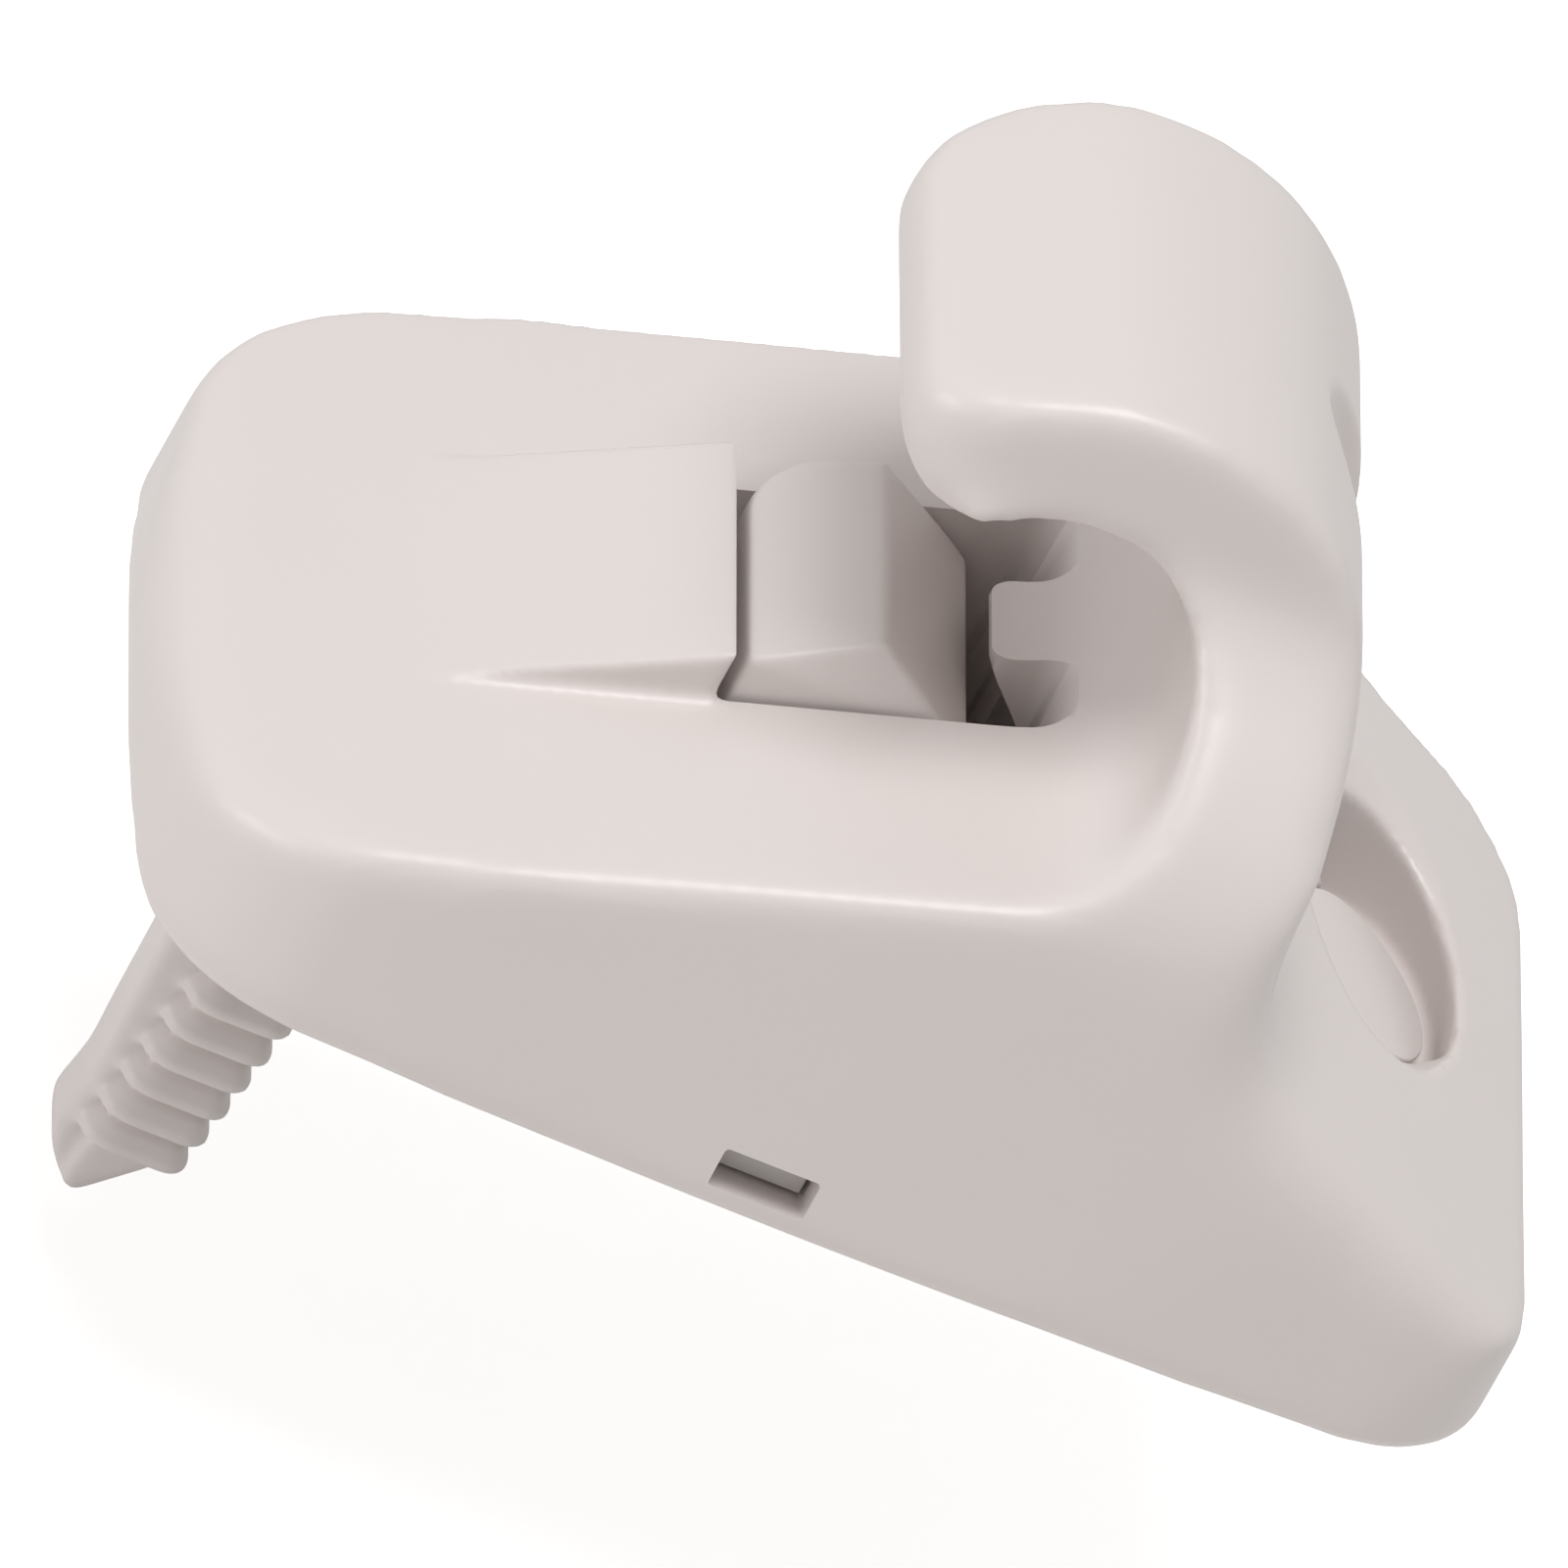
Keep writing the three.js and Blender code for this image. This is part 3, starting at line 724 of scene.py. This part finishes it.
    def core(self) -> bpy.types.Object:
        """The solid J with its soft edges.

        Returns:
            The closed core.
        """
        half, edge = self.width / 2, self.low_edge
        body = prism("housing_shell", self.side(), Axis.Y, (-half, half))
        span = (self.x(-CLEAR), self.x(self.length + CLEAR))
        combine(body, prism("front", self.front(), Axis.X, span), Cut.KEEP)
        plan = prism("plan", self.plan(), Axis.Z, (edge, self.top))
        low = self.plan(self.low_edge_inset * edge)
        span = (-self.low_edge_drop * edge, edge + LAP)
        combine(plan, loft("plan_low", low, self.plan(), span), Cut.JOIN)
        combine(body, plan, Cut.KEEP)
        for corner in self.corners():
            combine(body, corner, Cut.TAKE)
        remesh(body, self.coarse_cell)
        self.weigh(body)
        soften(body, self.edge_rounds, "edges")
        soften(body, self.flare_rounds, "flare")
        combine(body, self.ramp(), Cut.JOIN)
        return body

    def hollow(self) -> bpy.types.Object:
        """The space under the floor, with the ribs, saddles and boss left out of it.

        Returns:
            The closed space.
        """
        skin = self.skin
        roof = self.foot_edge - self.wall + skin
        inset = self.wall - skin
        lift = self.wall / math.cos(math.radians(self.floor_angle)) - skin
        end = self.pocket_end + skin
        outline = [
            (self.x(inset), self.end_under),
            (self.x(self.end_under + 4 * skin), -2 * CLEAR),
            (self.x(self.length - inset), -2 * CLEAR),
            (self.x(self.length - inset), roof),
            (self.x(self.neck), roof),
            (self.x(self.neck - inset), self.floor_at(end) - lift),
            (self.x(end), self.floor_at(end) - lift),
            (self.x(inset), self.floor_at(inset) - lift),
        ]
        half = self.waist / 2 - inset
        space = prism("hollow", outline, Axis.Y, (-half, half))
        combine(space, prism("plan", self.plan(inset), Axis.Z, (-3 * CLEAR, self.tall)), Cut.KEEP)
        combine(space, copy_of("housing", "inner"), Cut.TAKE)
        web = (self.x(self.pocket_end - self.finger_reach - skin), self.x(self.pocket_end + self.wall))
        side = self.pocket_width / 2 + CLEAR
        across = (self.channel_mid - side, self.channel_mid + side)
        high = (self.pocket_floor, self.shoulder + self.web_rise)
        combine(space, block("web", web, across, high), Cut.TAKE)
        return space

    def pocket(self) -> bpy.types.Object:
        """The pocket in the floor, round the finger that reaches back into it.

        Returns:
            The closed space.
        """
        half, finger = self.pocket_width / 2, self.finger_width / 2
        low, high = self.channel_mid - half, self.channel_mid + half
        near, far = self.channel_mid - finger, self.channel_mid + finger
        left, right = self.x(self.pocket_start), self.x(self.pocket_end)
        tip, base = right - self.finger_reach, self.pocket_floor - CLEAR
        r, c, f = self.pocket_corner, self.finger_corner, self.finger_fillet
        outline = [(left, low)] + arc((right - r, low + r), r, -QUARTER, 0, steps=10)
        outline += arc((right - f, near - f), f, 0, QUARTER, steps=8)
        outline += arc((tip + c, near + c), c, -QUARTER, -2 * QUARTER, steps=8)
        outline += arc((tip + c, far - c), c, 2 * QUARTER, QUARTER, steps=8)
        outline += arc((right - f, far + f), f, -QUARTER, 0, steps=8)
        outline += arc((right - r, high - r), r, 0, QUARTER, steps=10) + [(left, high)]
        space = prism("pocket", tidy_outline(outline), Axis.Z, (base, self.centre[1]))
        fall = math.sqrt(self.channel_radius**2 - (tip - self.x(self.channel_end)) ** 2)
        lip, start = self.centre[1] - fall - self.finger_lip, tip - CLEAR
        under = [(start, lip), (tip, lip), (right, lip - self.finger_reach), (right, base), (start, base)]
        combine(space, prism("undercut", under, Axis.Y, (near - 0.5 * f, far + 0.5 * f)), Cut.JOIN)
        return space

    def recess(self) -> bpy.types.Object:
        """The round recess in the foot with its oval flare and the driver's relief above it.

        Returns:
            The closed space.
        """
        lean = math.radians(self.recess_tilt)
        axis, up = Vector((math.sin(lean), 0, math.cos(lean))), Vector((0, 0, 1))
        along = (self.neck + self.length) / 2 + self.recess_shift[0]
        side = self.channel_mid + self.recess_shift[1]
        top = Vector((self.x(along), side, self.foot_at(along) - self.recess_depth / axis.z))
        start = top - axis * self.recess_below
        space = rod("recess", self.recess_radius, start, axis, self.recess_length)
        mouth = rod("mouth", self.recess_radius, Vector((0, 0, 0)), up, 2 * self.recess_depth)
        wide, long = [size / (2 * self.recess_radius) - 1 for size in self.mouth_size]
        for v in mouth.data.vertices:
            t = v.co.z / MM / self.recess_depth
            v.co.x = v.co.x * (1 + wide * t) + self.mouth_shift[0] * t * MM
            v.co.y = v.co.y * (1 + long * t) + self.mouth_shift[1] * t * MM
        mouth.data.transform(Matrix.Translation(top * MM) @ Matrix.Rotation(lean, 4, "Y"))
        combine(space, mouth, Cut.JOIN)
        combine(space, self.well(top, axis), Cut.JOIN)
        relief = Vector((-self.relief_lean, 0, 1)).normalized()
        start = Vector((top.x, self.channel_mid, top.z)) + relief * self.relief_start
        combine(space, rod("relief", self.relief_radius, start, relief, self.tall), Cut.JOIN)
        return space

    def well(self, top: Vector, axis: Vector) -> bpy.types.Object:
        """The deep part of the recess behind the cap, with its upright wall.

        Args:
            top: the middle of the cap's top.
            axis: the recess's axis.

        Returns:
            The closed piece.
        """
        t = self.well_flare
        wide, long = [self.recess_radius * (1 - t) + size / 2 * t for size in self.mouth_size]
        out = self.mouth_shift[0] * t * axis.z + self.recess_depth * t * axis.x
        back = self.mouth_shift[1] * t
        turns = [math.radians(a) for a in range(self.well_start, self.well_end + 1, self.well_step)]
        x, y = top.x + out, top.y + back
        outline = [(x + wide * axis.z * math.cos(a), y + long * math.sin(a)) for a in turns]
        well = prism("well", outline, Axis.Z, (self.well_floor, top.z + self.well_rise))
        seat = rod("seat", self.recess_radius, top - axis * self.seat_length, axis, self.seat_length)
        combine(well, seat, Cut.TAKE)
        return well

    def slots(self) -> list[bpy.types.Object]:
        """The slots in the two sides that the plate's tabs snap into.

        Returns:
            A closed piece for each side.
        """
        start, long, low, high = self.slot
        span = (self.x(start), self.x(start + long))
        inner = self.waist / 2 - self.wall - CLEAR
        outline = rounded(span, (low, low + high), self.slot_corner, self.slot_corner, steps=4)
        near = prism("slot_near", outline, Axis.Y, (-self.width, -inner))
        far = prism("slot_far", outline, Axis.Y, (inner, self.width))
        return [near, far]

    def build(self) -> bpy.types.Object:
        """Models the housing, hangs it on the frame's body and hides the CAD node.

        Returns:
            The finished piece.
        """
        shell = self.core()
        combine(shell, self.hollow(), Cut.TAKE)
        combine(shell, self.recess(), Cut.TAKE)
        remesh(shell, self.fine_cell)
        soften(shell, self.last_rounds)
        thin(shell, self.triangles)
        combine(shell, self.pocket(), Cut.TAKE)
        for slot in self.slots():
            combine(shell, slot, Cut.TAKE)
        smooth_shade(shell)
        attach(shell, "frame")
        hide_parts("housing")
        return shell


# ---- lever ----


@dataclass
class Lever(Part):
    """The moulded lever: hub, arm, wedge and handle.

    Sizes in mm, the lean in degrees, rounding from 0 to 1; X is counted as in the housing.
    """

    house: Housing
    pivot: Point = (16.0, 8.0)
    bore: float = 1.6
    hub: float = 4.5
    play: float = 0.5
    arm: float = 3.2
    roof_gap: float = 0.35
    wedge: Span = (36.2, 53.3)
    ridge: float = 44.5
    ridge_rise: float = 5.0
    drops: Span = (4.4, 5.8)
    hip: float = 1.6
    far_corner: float = 6.5
    bottom: float = 13.0
    seat: Point = (45.5, 4.8)
    seat_depth: float = 3.0
    blade: Point = (6.2, 7.6)
    lean: float = 8.0
    shift: float = 3.2
    end: float = -29.0
    tip: float = -33.0
    tip_points: tuple[Point, ...] = ((0.3, 0.1), (1.0, 0.0), (1.7, 0.5))
    blade_turn: Point = (-0.2, 0.5)
    fin_turn: Point = (-0.5, 0.7)
    fin_points: tuple[Point, ...] = ((0.5, 8.0), (-0.2, 4.0), (0.5, 2.2))
    fin_left: float = 5.6
    fin_inset: float = 1.5
    ribs: int = 9
    pitch: float = 2.61
    rib_top: float = -5.9
    rib_start: float = 0.5
    rib_profile: tuple[Point, ...] = ((0.0, 0.75), (0.08, 1.0), (0.3, 0.88), (0.65, 0.3), (1.0, -0.55))
    rib_corners: Point = (2.1, 0.9)
    rib_right: float = 0.2
    proud: float = 1.1
    groove: float = 0.5
    least_corner: float = 0.4
    wedge_start: float = 30.0
    wedge_rounding: float = 0.27
    arm_rounding: float = 0.03
    rib_rounding: float = 0.02
    handle_top: float = 1.0
    fin_edge: float = 0.6
    fin_span: Span = (-0.8, 1.1)
    tip_rounding: float = 0.4
    tip_span: float = 0.9
    cell: float = 0.21
    rounds: int = 150
    triangles: int = 110000

    @property
    def half(self) -> float:
        """Half of the lever's width."""
        return self.house.pocket_width / 2 - self.play

    @property
    def near(self) -> float:
        """Y of the handle blade's near face."""
        return self.house.channel_mid - self.half + self.proud

    def blade_mid(self, z: float) -> float:
        """X of the leaning blade's middle at a height."""
        return self.pivot[0] + self.shift + math.tan(math.radians(self.lean)) * z

    def catch(self) -> bpy.types.Object:
        """The hub's web, the arm under the floor and the wedge.

        Returns:
            The closed piece.
        """
        h = self.house
        start, end = self.wedge
        top = h.floor_at(self.ridge) + self.ridge_rise
        roof = h.wall / math.cos(math.radians(h.floor_angle)) + self.roof_gap
        eave = top - self.drops[0]
        outline = [
            (self.pivot[0], self.pivot[1] - self.hub),
            (start, self.bottom - self.arm / 2),
            (start, self.bottom),
            (end, self.bottom),
            (end, top - self.drops[1]),
            (self.ridge, top),
            (start, eave),
            (start, h.floor_at(h.pocket_start) - roof),
            (h.pocket_start, h.floor_at(h.pocket_start) - roof),
            (self.pivot[0] + self.hub, h.floor_at(self.pivot[0] + self.hub) - roof),
            (self.pivot[0], self.pivot[1] + self.hub),
        ]
        mid, inner = h.channel_mid, self.half - self.hip
        near, far = mid - self.half, mid + self.half
        catch = prism("latch_lever_piece", [(h.x(a), b) for a, b in outline], Axis.Y, (near, far))
        over = top + CLEAR
        sides = [(near, -CLEAR), (far, -CLEAR), (far, eave)]
        sides += [(mid + inner, over), (mid - inner, over), (near, eave)]
        combine(catch, prism("sides", sides, Axis.X, (h.x(0), h.x(h.length))), Cut.KEEP)
        left, r = h.x(start), self.far_corner
        turn = arc((left + r, far - r), r, math.pi, QUARTER, steps=14)
        corner = [(left - CLEAR, far + CLEAR), (left - CLEAR, far - r)] + turn + [(left + r, far + CLEAR)]
        combine(catch, prism("corner", corner, Axis.Z, (self.bottom + CLEAR, top + 2 * CLEAR)), Cut.TAKE)
        return catch

    def rim(self, z: float, proud: float) -> list[Point]:
        """The outline round the blade at a height.

        Args:
            z: the height.
            proud: how far outside the blade it runs.

        Returns:
            The outline.
        """
        x = self.house.x(self.blade_mid(z))
        half = self.blade[0] / 2 + proud
        back = self.near + self.blade[1] - self.proud
        left, right = [max(self.least_corner, corner + proud) for corner in self.rib_corners]
        return rounded((x - half, x + half + self.rib_right), (self.near - proud, back), left, right, steps=8)

    def handle(self) -> list[bpy.types.Object]:
        """The leaning blade with its overlapping ribs, and the plain fin on its left.

        Returns:
            Their closed pieces.
        """
        x, z, mid = self.house.x, self.end, self.blade_mid
        half, root = self.blade[0] / 2 - self.groove, self.pivot[1]
        low, back = mid(z) - half, self.near + self.blade[1]
        point = [(low + a, self.tip + b) for a, b in self.tip_points] + [(mid(z) + half, z)]
        core = [(low + self.blade_turn[0], self.tip + self.blade_turn[1])] + point
        core += [(mid(root) + half, root), (mid(root) - half, root)]
        left, top = self.pivot[0] - self.fin_left, root - self.hub
        fin = [(left + a, self.tip + b) for a, b in self.fin_points]
        fin += [(low + self.fin_turn[0], self.tip + self.fin_turn[1])] + point
        fin += [(mid(root), top), (left, top)]
        made = [
            prism("blade", [(x(a), b) for a, b in core], Axis.Y, (self.near + self.groove, back)),
            prism("fin", [(x(a), b) for a, b in fin], Axis.Y, (self.near + self.fin_inset, back)),
        ]
        for i in range(self.ribs):
            low = self.rib_top - (i + self.rib_start) * self.pitch
            for (t0, p0), (t1, p1) in zip(self.rib_profile, self.rib_profile[1:]):
                z0, z1 = low + t0 * self.pitch, low + t1 * self.pitch
                rims = self.rim(z0, p0 * self.proud), self.rim(z1, p1 * self.proud)
                made.append(loft("rib", *rims, (z0, z1 + LAP)))
        return made

    def weigh(self, piece: bpy.types.Object) -> None:
        """Marks how far each place is rounded: the fin's left edge most, then the wedge, the ribs least.

        Args:
            piece: the lever.
        """
        group = piece.vertex_groups.new(name="edges")
        for v in piece.data.vertices:
            x, z = v.co.x / MM + self.house.length / 2, v.co.z / MM
            weight = self.wedge_rounding if x > self.wedge_start else self.arm_rounding
            if z < self.handle_top:
                left = self.blade_mid(z) - self.blade[0] / 2 - self.fin_edge
                fin = 1 - ease(x, left + self.fin_span[0], left + self.fin_span[1])
                end = 1 - ease(z, self.end, self.end + self.tip_span)
                weight = max(mix(self.rib_rounding, 1, fin**2), self.tip_rounding * end)
            group.add([v.index], weight, "REPLACE")

    def build(self) -> bpy.types.Object:
        """Models the lever, hangs it on the lever's body and hides the CAD node.

        Returns:
            The finished piece.
        """
        h = self.house
        lever = self.catch()
        mid = h.channel_mid
        across, up = Vector((0, 1, 0)), Vector((0, 0, 1))
        base = Vector((h.x(self.pivot[0]), mid - self.half, self.pivot[1]))
        combine(lever, rod("hub", self.hub, base, across, 2 * self.half), Cut.JOIN)
        for part in self.handle():
            combine(lever, part, Cut.JOIN)
        bore = rod("bore", self.bore, base - across, across, 2 * self.half + 2 * CLEAR)
        combine(lever, bore, Cut.TAKE)
        spring = Vector((h.x(self.seat[0]), mid, self.bottom - CLEAR))
        combine(lever, rod("seat", self.seat[1], spring, up, self.seat_depth + CLEAR), Cut.TAKE)
        remesh(lever, self.cell)
        self.weigh(lever)
        soften(lever, self.rounds, "edges")
        thin(lever, self.triangles)
        smooth_shade(lever)
        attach(lever, "lever")
        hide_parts("latch_lever")
        return lever


# ---- plate, fasteners and cap ----


@dataclass
class Fitting(Part):
    """A CAD node carried over as a finished piece with softened edges. Sizes in mm, angles in degrees."""

    node: str
    slot: str
    bevel: float
    segments: int = 3
    flat_angle: float = 1.0
    edge_angle: float = 35.0
    crease_angle: float = 40.0

    def build(self) -> bpy.types.Object:
        """Copies the node, rounds its edges, hangs the copy on the frame's body and hides the node.

        Returns:
            The finished piece.
        """
        piece = copy_of(self.node, self.node + "_piece")
        bpy.ops.object.mode_set(mode="EDIT")
        bpy.ops.mesh.select_all(action="SELECT")
        bpy.ops.mesh.dissolve_limited(angle_limit=math.radians(self.flat_angle))
        bpy.ops.object.mode_set(mode="OBJECT")
        step = piece.modifiers.new("edges", "BEVEL")
        step.width = self.bevel * MM
        step.segments = self.segments
        step.limit_method = "ANGLE"
        step.angle_limit = math.radians(self.edge_angle)
        bpy.ops.object.modifier_apply(modifier=step.name)
        smooth_shade(piece, self.crease_angle)
        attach(piece, "frame")
        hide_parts(self.node)
        return piece


# ---- finishes ----


def linear(code: str) -> tuple[float, float, float, float]:
    """An sRGB hex colour as linear numbers.

    Args:
        code: six hex digits.

    Returns:
        Red, green, blue and an alpha of 1.
    """
    parts = [int(code[i : i + 2], 16) / 255 for i in (0, 2, 4)]
    turned = [p / 12.92 if p <= 0.04045 else ((p + 0.055) / 1.055) ** 2.4 for p in parts]
    return (turned[0], turned[1], turned[2], 1.0)


def cells(size: float) -> int:
    """Noise cells to a metre, for features of a size in mm."""
    return round(1 / (size * MM))


def node(tree: bpy.types.NodeTree, kind: str, settings: dict, links: dict) -> bpy.types.Node:
    """Adds a node with its settings and links.

    Args:
        tree: the material's node tree.
        kind: the node's type.
        settings: attributes by name, or socket values by the socket's name or number.
        links: output sockets by the name or number of the input that each feeds.

    Returns:
        The new node.
    """
    made = tree.nodes.new(kind)
    for key, value in settings.items():
        if isinstance(key, str) and hasattr(made, key):
            setattr(made, key, value)
        else:
            made.inputs[key].default_value = value
    for key, source in links.items():
        tree.links.new(source, made.inputs[key])
    return made


def empty(name: str) -> tuple[bpy.types.Material, bpy.types.NodeTree]:
    """A new material with no nodes yet.

    Args:
        name: the material's name.

    Returns:
        The material and its node tree.
    """
    material = bpy.data.materials.new(name)
    material.use_nodes = True
    material.node_tree.nodes.clear()
    return material, material.node_tree


@dataclass(frozen=True)
class MouldedPlastic:
    """Injection-moulded plastic: an even colour, broad soft highlights, faint flow marks, a satin grain.

    Sizes in mm. The real grain is too fine to show, so the grit is drawn coarser.
    """

    name: str
    colour: str
    shade: str
    roughness: float
    grain: float
    ior: float = 1.53
    flow_size: float = 22.22
    grit_size: float = 0.4167
    grit_height: float = 0.03
    uneven: float = 0.03

    def make(self) -> bpy.types.Material:
        """The finish as a material.

        Returns:
            The material.
        """
        material, tree = empty(self.name)
        place = node(tree, "ShaderNodeTexCoord", {}, {}).outputs["Object"]
        flow_look = {"Scale": cells(self.flow_size), "Detail": 3.0, "Roughness": 0.5}
        flow = node(tree, "ShaderNodeTexNoise", flow_look, {"Vector": place}).outputs["Fac"]
        tints = {"data_type": "RGBA", 6: linear(self.colour), 7: linear(self.shade)}
        tint = node(tree, "ShaderNodeMix", tints, {0: flow})
        grit_look = {"Scale": cells(self.grit_size), "Detail": 2.0, "Roughness": 0.6}
        grit = node(tree, "ShaderNodeTexNoise", grit_look, {"Vector": place})
        depth = {"Strength": self.grain, "Distance": self.grit_height * MM}
        bump = node(tree, "ShaderNodeBump", depth, {"Height": grit.outputs["Fac"]})
        gloss = {"To Min": self.roughness - self.uneven, "To Max": self.roughness + self.uneven}
        sheen = node(tree, "ShaderNodeMapRange", gloss, {"Value": flow})
        links = {"Base Color": tint.outputs[2], "Roughness": sheen.outputs["Result"]}
        links["Normal"] = bump.outputs["Normal"]
        surface = node(tree, "ShaderNodeBsdfPrincipled", {"IOR": self.ior, "Metallic": 0.0}, links)
        node(tree, "ShaderNodeOutputMaterial", {}, {"Surface": surface.outputs["BSDF"]})
        return material


@dataclass(frozen=True)
class PlatedSteel:
    """Zinc-plated steel: bright grey, with crystals of a size in mm that break up its highlights."""

    name: str
    colour: str
    shade: str
    roughness: float
    crystal_size: float = 1.111
    uneven: float = 0.08

    def make(self) -> bpy.types.Material:
        """The finish as a material.

        Returns:
            The material.
        """
        material, tree = empty(self.name)
        place = node(tree, "ShaderNodeTexCoord", {}, {}).outputs["Object"]
        look = {"Scale": cells(self.crystal_size), "Detail": 4.0, "Roughness": 0.6}
        mottle = node(tree, "ShaderNodeTexNoise", look, {"Vector": place}).outputs["Fac"]
        tints = {"data_type": "RGBA", 6: linear(self.colour), 7: linear(self.shade)}
        tint = node(tree, "ShaderNodeMix", tints, {0: mottle})
        gloss = {"To Min": self.roughness - self.uneven, "To Max": self.roughness + self.uneven}
        sheen = node(tree, "ShaderNodeMapRange", gloss, {"Value": mottle})
        links = {"Base Color": tint.outputs[2], "Roughness": sheen.outputs["Result"]}
        surface = node(tree, "ShaderNodeBsdfPrincipled", {"Metallic": 1.0}, links)
        node(tree, "ShaderNodeOutputMaterial", {}, {"Surface": surface.outputs["BSDF"]})
        return material


SHELL_PLASTIC = MouldedPlastic("abs_moulded_satin", "dad2cf", "d7cfcc", 0.36, 0.25)
INNER_PLASTIC = MouldedPlastic("nylon_moulded", "c9c4c0", "c4bfbb", 0.5, 0.4)
ZINC_STEEL = PlatedSteel("steel_zinc_plated", "b9bcc0", "a6a9ad", 0.32)
FITTING_EDGES = {"shell": 0.25, "plate": 0.25, "steel": 0.12}  # mm, by material slot


# ---- studio ----


@dataclass(frozen=True)
class Lamp:
    """A square soft lamp: where it stands and its side in m, and its output in W."""

    name: str
    place: Place
    size: float
    power: float

    def build(self, target: Vector) -> None:
        """Sets the lamp up, turned to a point.

        Args:
            target: the point, in m.
        """
        data = bpy.data.lights.new(self.name, "AREA")
        data.size = self.size
        data.energy = self.power
        lamp = bpy.data.objects.new(self.name, data)
        lamp.location = self.place
        lamp.rotation_mode = "QUATERNION"
        lamp.rotation_quaternion = (target - Vector(self.place)).to_track_quat("-Z", "Y")
        bpy.context.scene.collection.objects.link(lamp)


@dataclass
class Studio:
    """Pale floor, soft lamps and a long lens.

    The floor's size, the camera's distance and its reach are in m, the other lengths in mm.
    """

    floor_gap: float = 8.0
    floor_level: float = CAD_BOX[0][2] / MM - floor_gap
    floor_size: float = 6.0
    floor_colour: str = "f8f7f6"
    floor_glow: float = 0.6
    distance: float = 5.0
    sensor: float = 36.0
    reach: float = 20.0
    frame_width: float = 106.67
    target: Place = (-6.04, 0.0, 12.49)
    right: Place = (0.9051, 0.0, 0.4252)
    up: Place = (-0.3529, 0.5575, 0.7515)
    room_light: float = 0.4
    lamps: tuple[Lamp, ...] = (
        Lamp("key", (-0.12, -0.22, 1.1), 0.6, 7.8),
        Lamp("fill", (-1.1, -0.25, 0.08), 0.7, 4.3),
    )

    def camera(self) -> None:
        """A camera that looks at the latch's near side from above, turned about its line of sight."""
        right, up = Vector(self.right), Vector(self.up)
        back = right.cross(up).normalized()
        up = back.cross(right).normalized()
        data = bpy.data.cameras.new("camera")
        data.sensor_width = self.sensor
        data.lens = self.sensor * self.distance / (self.frame_width * MM)
        data.clip_end = self.reach
        turned = Matrix((right.normalized(), up, back)).transposed().to_4x4()
        camera = bpy.data.objects.new("camera", data)
        camera.matrix_world = Matrix.Translation(Vector(self.target) * MM + back * self.distance) @ turned
        bpy.context.scene.collection.objects.link(camera)
        bpy.context.scene.camera = camera

    def floor(self) -> None:
        """A plain floor under the lowest point, which glows a little where the camera sees it."""
        bpy.ops.object.select_all(action="DESELECT")
        place = (0, 0, self.floor_level * MM)
        bpy.ops.mesh.primitive_plane_add(size=self.floor_size, location=place)
        floor = bpy.context.active_object
        floor.name = "floor"
        bpy.ops.object.transform_apply(location=True)
        material, tree = empty("pale_floor")
        matt = node(tree, "ShaderNodeBsdfDiffuse", {"Color": linear(self.floor_colour)}, {}).outputs[0]
        light = {"Color": linear("ffffff"), "Strength": self.floor_glow}
        glow = node(tree, "ShaderNodeEmission", light, {}).outputs[0]
        both = node(tree, "ShaderNodeAddShader", {}, {0: matt, 1: glow}).outputs[0]
        seen = node(tree, "ShaderNodeLightPath", {}, {}).outputs["Is Camera Ray"]
        mixed = node(tree, "ShaderNodeMixShader", {}, {0: seen, 1: matt, 2: both})
        node(tree, "ShaderNodeOutputMaterial", {}, {"Surface": mixed.outputs[0]})
        paint(floor, material)

    def world(self) -> None:
        """Even light from all round, white where the camera or a reflection sees it."""
        world = bpy.data.worlds.new("studio")
        world.use_nodes = True
        tree = world.node_tree
        tree.nodes.clear()
        path = node(tree, "ShaderNodeLightPath", {}, {}).outputs
        rays = {0: path["Is Camera Ray"], 1: path["Is Glossy Ray"]}
        seen = node(tree, "ShaderNodeMath", {"operation": "MAXIMUM"}, rays).outputs[0]
        levels = {"To Min": self.room_light, "To Max": 1.0}
        level = node(tree, "ShaderNodeMapRange", levels, {"Value": seen}).outputs["Result"]
        light = node(tree, "ShaderNodeBackground", {"Color": linear("ffffff")}, {"Strength": level})
        node(tree, "ShaderNodeOutputWorld", {}, {"Surface": light.outputs[0]})
        bpy.context.scene.world = world

    def build(self) -> None:
        """Sets up the camera, floor, world and lamps."""
        bpy.context.scene.view_settings.view_transform = "Standard"
        self.camera()
        self.floor()
        self.world()
        for lamp in self.lamps:
            lamp.build(Vector(self.target) * MM)


def main() -> None:
    """Sets up the studio, then builds, dresses and reports each piece in order."""
    logging.basicConfig(level=logging.INFO, format="%(message)s")
    shell, inner, steel = SHELL_PLASTIC.make(), INNER_PLASTIC.make(), ZINC_STEEL.make()
    finishes = {"shell": shell, "lever": shell, "plate": inner, "steel": steel}
    slots = {part["node"]: part["material_slot"] for part in frame["record"]["subparts"]}
    Studio().build()
    house = Housing()
    parts: dict[str, Part] = {"housing": house, "latch_lever": Lever(house)}
    for name in frame["nodes"]:
        if name not in parts and name != SPRING:
            parts[name] = Fitting(name, slots[name], FITTING_EDGES[slots[name]])
    for name, part in parts.items():
        piece = part.build()
        part.dress(piece, finishes[slots[name]])
        LOG.info("%s: %d faces", name, len(piece.data.polygons))
    paint(frame["nodes"][SPRING], finishes[slots[SPRING]])
    LOG.info("%s: the CAD node, dressed", SPRING)


if __name__ == "__main__":
    main()
